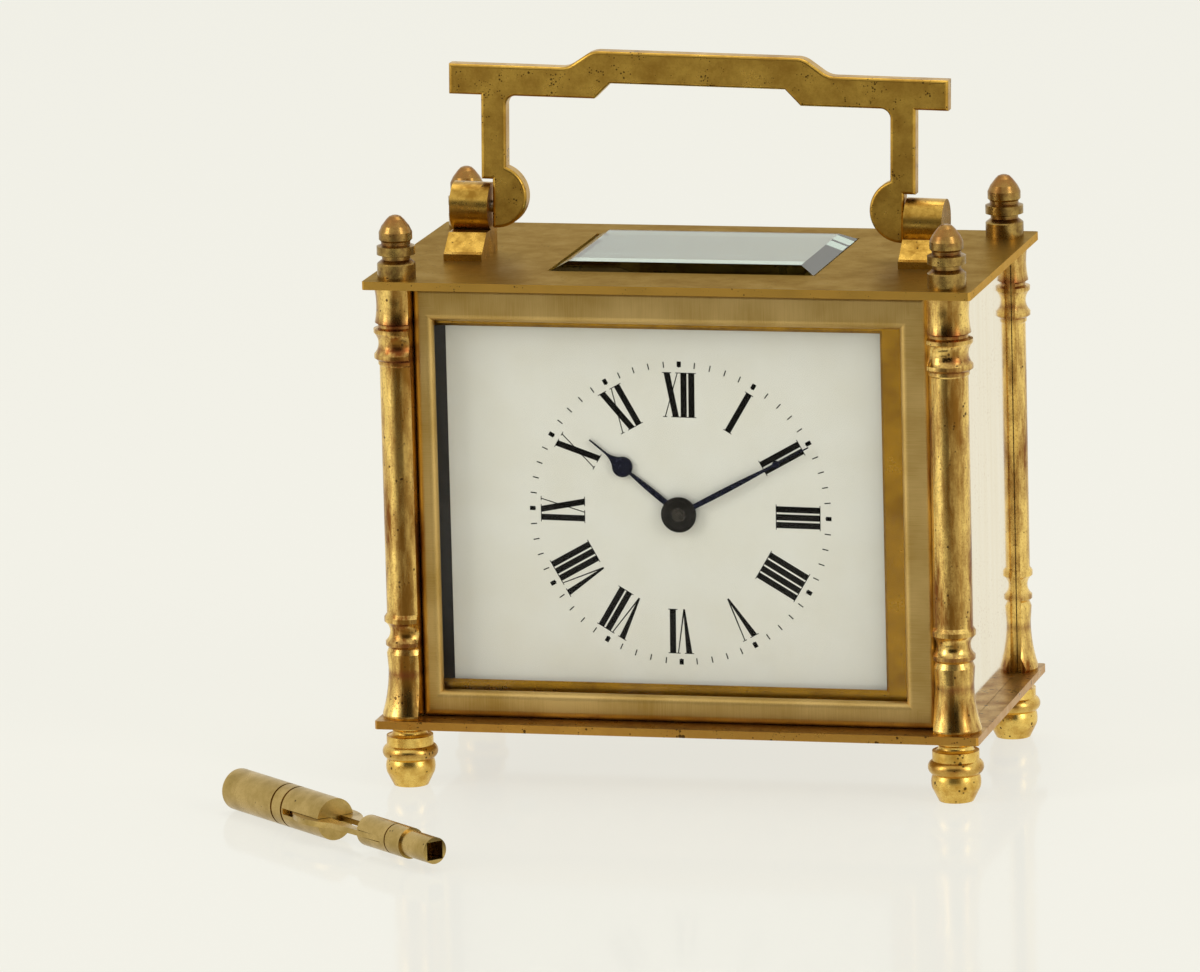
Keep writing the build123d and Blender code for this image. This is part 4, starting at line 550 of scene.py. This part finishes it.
# %% Numeral strokes
dial_centre = Vector((-0.35, 0.0, 49.58))
dial_front = -20.5
dial_turn = math.radians(0.8)
print_thick = 0.03
numeral_inner = 17.4
numeral_outer = 25.5
stem = 1.1
hairline = 0.17
serif = 0.13
overshoot = 0.3
letter_gap = 0.32
letter_wide = 2.75
letter_height = numeral_outer - numeral_inner


def bar(x0, x1, y0, y1):
    """A plain upright rectangle."""
    return [(x0, y0), (x1, y0), (x1, y1), (x0, y1)]


def serifs(x0, x1, ends):
    """Hairline bars across one foot or head of a stroke."""
    rows = {"low": (0, serif), "high": (letter_height - serif, letter_height)}
    return [bar(x0 - overshoot, x1 + overshoot, *rows[end]) for end in ends]


def letter_i():
    """One thick stroke."""
    return stem, [bar(0, stem, 0, letter_height)] + serifs(0, stem, ("low", "high"))


def letter_v():
    """A thick and a thin stroke that meet towards the middle of the dial."""
    wide, foot, top = letter_wide, 1.45, letter_height
    thick = [(foot - 0.05, 0), (foot + 0.25, 0), (0.1 + stem, top), (0.1, top)]
    thin = [(foot, 0), (foot + 0.25, 0), (wide, top), (wide - hairline, top)]
    return wide, [thick, thin] + serifs(0.1, 0.1 + stem, ("high",)) + serifs(
        wide - hairline, wide, ("high",))


def letter_x():
    """A thick stroke crossed by a thin one."""
    wide, top = letter_wide, letter_height
    inset = 0.15
    thick = [(wide - stem, 0), (wide, 0), (stem, top), (0, top)]
    thin = [(inset, 0), (inset + hairline, 0), (wide - inset, top), (wide - inset - hairline, top)]
    return wide, [thick, thin] + serifs(0, stem, ("high",)) + serifs(
        wide - stem, wide, ("low",)) + serifs(wide - 0.3, wide - inset, ("high",)) + serifs(
        inset, 0.3, ("low",))


letters = {"I": letter_i, "V": letter_v, "X": letter_x}
numerals = ("XII", "I", "II", "III", "IIII", "V", "VI", "VII", "VIII", "IX", "X", "XI")
print("each numeral is", round(letter_height, 2), "mm tall")

# %% Build the numerals
def dial_point(across, outwards, angle, lift):
    """A point of the print: across and outwards from the dial's centre at a clockwise angle."""
    along = Vector((math.sin(angle), 0, math.cos(angle)))
    sideways = Vector((math.cos(angle), 0, -math.sin(angle)))
    flat = dial_centre + along * outwards + sideways * across
    return Vector((flat.x, dial_front - lift, flat.z)) * MM


def raise_outline(mesh, outline, angle, inner):
    """A flat stroke with the thickness of the print."""
    rings = []
    for lift in (0.0, print_thick):
        rings.append([mesh.verts.new(dial_point(x, inner + y, angle, lift)) for x, y in outline])
    mesh.faces.new(rings[1])
    mesh.faces.new(rings[0][::-1])
    count = len(outline)
    for i in range(count):
        j = (i + 1) % count
        mesh.faces.new((rings[0][i], rings[0][j], rings[1][j], rings[1][i]))


def mesh_piece(name, mesh, finish, body):
    """Turns the mesh being built into a finished piece that rides on a body."""
    bmesh.ops.recalc_face_normals(mesh, faces=mesh.faces)
    data = bpy.data.meshes.new(name)
    mesh.to_mesh(data)
    mesh.free()
    data.materials.append(finish)
    piece = bpy.data.objects.new(name, data)
    bpy.context.scene.collection.objects.link(piece)
    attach(piece, body)
    return piece


mesh = bmesh.new()
for hour, numeral in enumerate(numerals):
    parts = [letters[letter]() for letter in numeral]
    total = sum(width for width, _ in parts) + letter_gap * (len(parts) - 1)
    start = -total / 2
    for width, outlines in parts:
        for outline in outlines:
            shifted = [(x + start, y) for x, y in outline]
            raise_outline(mesh, shifted, math.radians(30 * hour) + dial_turn, numeral_inner)
        start += width + letter_gap
numeral_piece = mesh_piece("dial_numerals", mesh, print_black, "case")
print("dial_numerals has", len(numeral_piece.data.polygons), "faces")

# %% [markdown]
# ## The minute track
# Sixty thin marks and twelve thicker blocks repeat round a circle, which is what Geometry Nodes are
# for: a circle gives the places, one small block is copied to each and turned by its index, and the
# result is stood upright in front of the dial.

# %% Geometry Nodes tree for marks round a circle
marks_tree = bpy.data.node_groups.new("marks round a circle", "GeometryNodeTree")
marks_tree.interface.new_socket(name="Geometry", in_out="OUTPUT", socket_type="NodeSocketGeometry")
sockets = {}
for name, kind in (("Count", "NodeSocketInt"), ("Radius", "NodeSocketFloat"),
                   ("Size", "NodeSocketVector"), ("Place", "NodeSocketVector"),
                   ("Turn", "NodeSocketVector"), ("Material", "NodeSocketMaterial")):
    sockets[name] = marks_tree.interface.new_socket(name=name, in_out="INPUT", socket_type=kind)
given = add(marks_tree, "NodeGroupInput").outputs
ring = add(marks_tree, "GeometryNodeMeshCircle", {"Vertices": given["Count"],
                                                  "Radius": given["Radius"]})
block = add(marks_tree, "GeometryNodeMeshCube", {"Size": given["Size"]})
index = add(marks_tree, "GeometryNodeInputIndex")
step = add(marks_tree, "ShaderNodeMath", {0: math.tau, 1: given["Count"]}, operation="DIVIDE")
angle = add(marks_tree, "ShaderNodeMath", {0: index.outputs[0], 1: step.outputs[0]},
            operation="MULTIPLY")
turn = add(marks_tree, "ShaderNodeCombineXYZ", {"Z": angle.outputs[0]})
copies = add(marks_tree, "GeometryNodeInstanceOnPoints", {
    "Points": ring.outputs[0], "Instance": block.outputs["Mesh"], "Rotation": turn.outputs[0]})
stood = add(marks_tree, "GeometryNodeTransform", {
    "Geometry": copies.outputs[0], "Translation": given["Place"], "Rotation": given["Turn"]})
real = add(marks_tree, "GeometryNodeRealizeInstances", {0: stood.outputs[0]})
coated = add(marks_tree, "GeometryNodeSetMaterial", {"Geometry": real.outputs[0],
                                                     "Material": given["Material"]})
add(marks_tree, "NodeGroupOutput", {0: coated.outputs[0]})
print("the tree has", len(marks_tree.nodes), "nodes")

# %% Minute marks and five-minute blocks
def ring_of_marks(name, count, radius, length, width):
    """Plain mesh of marks round the dial; sizes in millimetres."""
    holder = bpy.data.objects.new(name, bpy.data.meshes.new(name))
    bpy.context.scene.collection.objects.link(holder)
    modifier = holder.modifiers.new("marks", "NODES")
    modifier.node_group = marks_tree
    values = {"Count": count, "Radius": radius * MM,
              "Size": (length * MM, width * MM, print_thick * MM),
              "Place": (dial_centre.x * MM, (dial_front - print_thick / 2) * MM, dial_centre.z * MM),
              "Turn": (math.pi / 2, dial_turn, 0.0), "Material": print_black}
    for key, value in values.items():
        modifier[sockets[key].identifier] = value
    shown = holder.evaluated_get(bpy.context.evaluated_depsgraph_get())
    holder.data = bpy.data.meshes.new_from_object(shown)
    holder.modifiers.clear()
    holder.data.name = name
    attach(holder, "case")
    print(name, "has", len(holder.data.polygons), "faces")
    return holder


ring_of_marks("minute_marks", 60, 26.95, 1.1, 0.19)
ring_of_marks("five_minute_blocks", 12, 27.0, 1.0, 0.75)

# %% [markdown]
# ## The studio
# The clock stood on a pale, slightly shiny slab in a bright room. The floor is one large plane that
# fills the whole view. It is mostly evenly white, as such slabs are when overexposed, but keeps a soft
# shadow and a weak mirror image. For that, about three quarters of its white is light of its own, which
# shows directly and in mirror images but doesn't spread to what stands on the floor. The world, too, is
# brighter to look at than the light it gives.
# Polished brass shows little colour of its own and much of what it mirrors. So three dark cards stand
# in for the unlit part of the room in front, and a bright backdrop and world for the rest. The cards are
# seen in mirror images alone and cast no shadow. The two small ones lie just above the floor, where the
# front of the clock mirrors them.

# %% Floor
def plane(name, size, place, turn, finish):
    """A flat sheet of the studio, in metres."""
    mesh = bmesh.new()
    bmesh.ops.create_grid(mesh, x_segments=1, y_segments=1, size=0.5)
    data = bpy.data.meshes.new(name)
    mesh.to_mesh(data)
    mesh.free()
    data.materials.append(finish)
    made = bpy.data.objects.new(name, data)
    made.matrix_world = (Matrix.Translation(place) @ turn.to_matrix().to_4x4()
                         @ Matrix.Diagonal((*size, 1.0, 1.0)))
    bpy.context.scene.collection.objects.link(made)
    return made


floor_own_light = 0.74
floor_white, tree = material("pale slab")
path = add(tree, "ShaderNodeLightPath")
seen = add(tree, "ShaderNodeMath", {0: path.outputs["Is Camera Ray"],
                                    1: path.outputs["Is Glossy Ray"]}, operation="MAXIMUM")
seen = add(tree, "ShaderNodeMath", {0: seen.outputs[0], 1: path.outputs["Is Transmission Ray"]},
           operation="MAXIMUM")
lit = add(tree, "ShaderNodeBsdfPrincipled", {"Base Color": linear("F6F5EE"), "Roughness": 0.08,
                                             "Specular IOR Level": 0.4})
glow = add(tree, "ShaderNodeEmission", {"Color": linear("F5F4EB"), "Strength": 1.0})
share = add(tree, "ShaderNodeMath", {0: seen.outputs[0], 1: floor_own_light},
            operation="MULTIPLY")
finish_with(tree, add(tree, "ShaderNodeMixShader", {0: share.outputs[0], 1: lit.outputs[0],
                                                    2: glow.outputs[0]}))
floor = plane("floor", (12.0, 12.0), Vector((0, 2.0, 0)), Matrix.Identity(3).to_quaternion(),
              floor_white)
print("floor", [round(side, 1) for side in floor.dimensions])

# %% Lamps, world and dark cards
def lamp(name, place, size, power, target=Vector((0, 0, 0.05))):
    """A soft rectangular lamp aimed at the clock."""
    data = bpy.data.lights.new(name, "AREA")
    data.shape = "RECTANGLE"
    data.size, data.size_y = size
    data.energy = power
    data.color = linear("FFFBF2")[:3]
    made = bpy.data.objects.new(name, data)
    aim = (target - Vector(place)).to_track_quat("-Z", "Y")
    made.matrix_world = Matrix.Translation(place) @ aim.to_matrix().to_4x4()
    bpy.context.scene.collection.objects.link(made)
    return made


lamp("left lamp", (-1.25, -0.9, 0.75), (0.6, 1.2), 8.0)
lamp("right lamp", (1.3, -0.7, 0.7), (0.5, 1.1), 6.0)
lamp("roof lamp", (0.1, 0.35, 1.5), (1.2, 0.9), 6.0)

card_height = 2 * MM
card_dark, tree = material("dark card")
faces = add(tree, "ShaderNodeNewGeometry")
dark_side = add(tree, "ShaderNodeBsdfDiffuse", {"Color": linear("302921")})
clear_side = add(tree, "ShaderNodeBsdfTransparent")
finish_with(tree, add(tree, "ShaderNodeMixShader", {
    0: faces.outputs["Backfacing"], 1: dark_side.outputs[0], 2: clear_side.outputs[0]}))
for name, size, place, facing in (
        ("standing dark card", (2.6, 1.5), Vector((0.3, -2.3, 0.75)), Vector((0, 1, 0))),
        ("lying dark card", (0.28, 0.26), Vector((-0.06, -0.39, card_height)), Vector((0, 0, 1))),
        ("near dark card", (0.08, 0.03), Vector((0.02, -0.085, card_height)), Vector((0, 0, 1)))):
    card = plane(name, size, place, facing.to_track_quat("Z", "Y"), card_dark)
    card.visible_camera = False
    card.visible_shadow = False
    card.visible_diffuse = False
    card.visible_transmission = False

backdrop_white, tree = material("pale backdrop")
finish_with(tree, add(tree, "ShaderNodeEmission", {"Color": linear("F6F5EC"), "Strength": 1.0}))
backdrop = plane("backdrop", (11.0, 2.4), Vector((0.0, 4.5, 1.2)),
                 Vector((0, -1, 0)).to_track_quat("Z", "Y"), backdrop_white)
backdrop.visible_diffuse = False
backdrop.visible_shadow = False

room_light = 0.5
room_seen = 0.95
world = bpy.data.worlds.new("bright room")
bpy.context.scene.world = world
world.use_nodes = True
world.node_tree.nodes.clear()
path = add(world.node_tree, "ShaderNodeLightPath")
seen = add(world.node_tree, "ShaderNodeMath", {0: path.outputs["Is Camera Ray"],
                                               1: path.outputs["Is Transmission Ray"]},
           operation="MAXIMUM")
seen = add(world.node_tree, "ShaderNodeMath", {0: seen.outputs[0],
                                               1: path.outputs["Is Glossy Ray"]},
           operation="MAXIMUM")
bright = add(world.node_tree, "ShaderNodeMapRange", {"Value": seen.outputs[0],
                                                     "To Min": room_light, "To Max": room_seen})
room = add(world.node_tree, "ShaderNodeBackground", {"Color": linear("F6F5EE"),
                                                     "Strength": bright.outputs[0]})
add(world.node_tree, "ShaderNodeOutputWorld", {"Surface": room.outputs[0]})
print("studio ready")
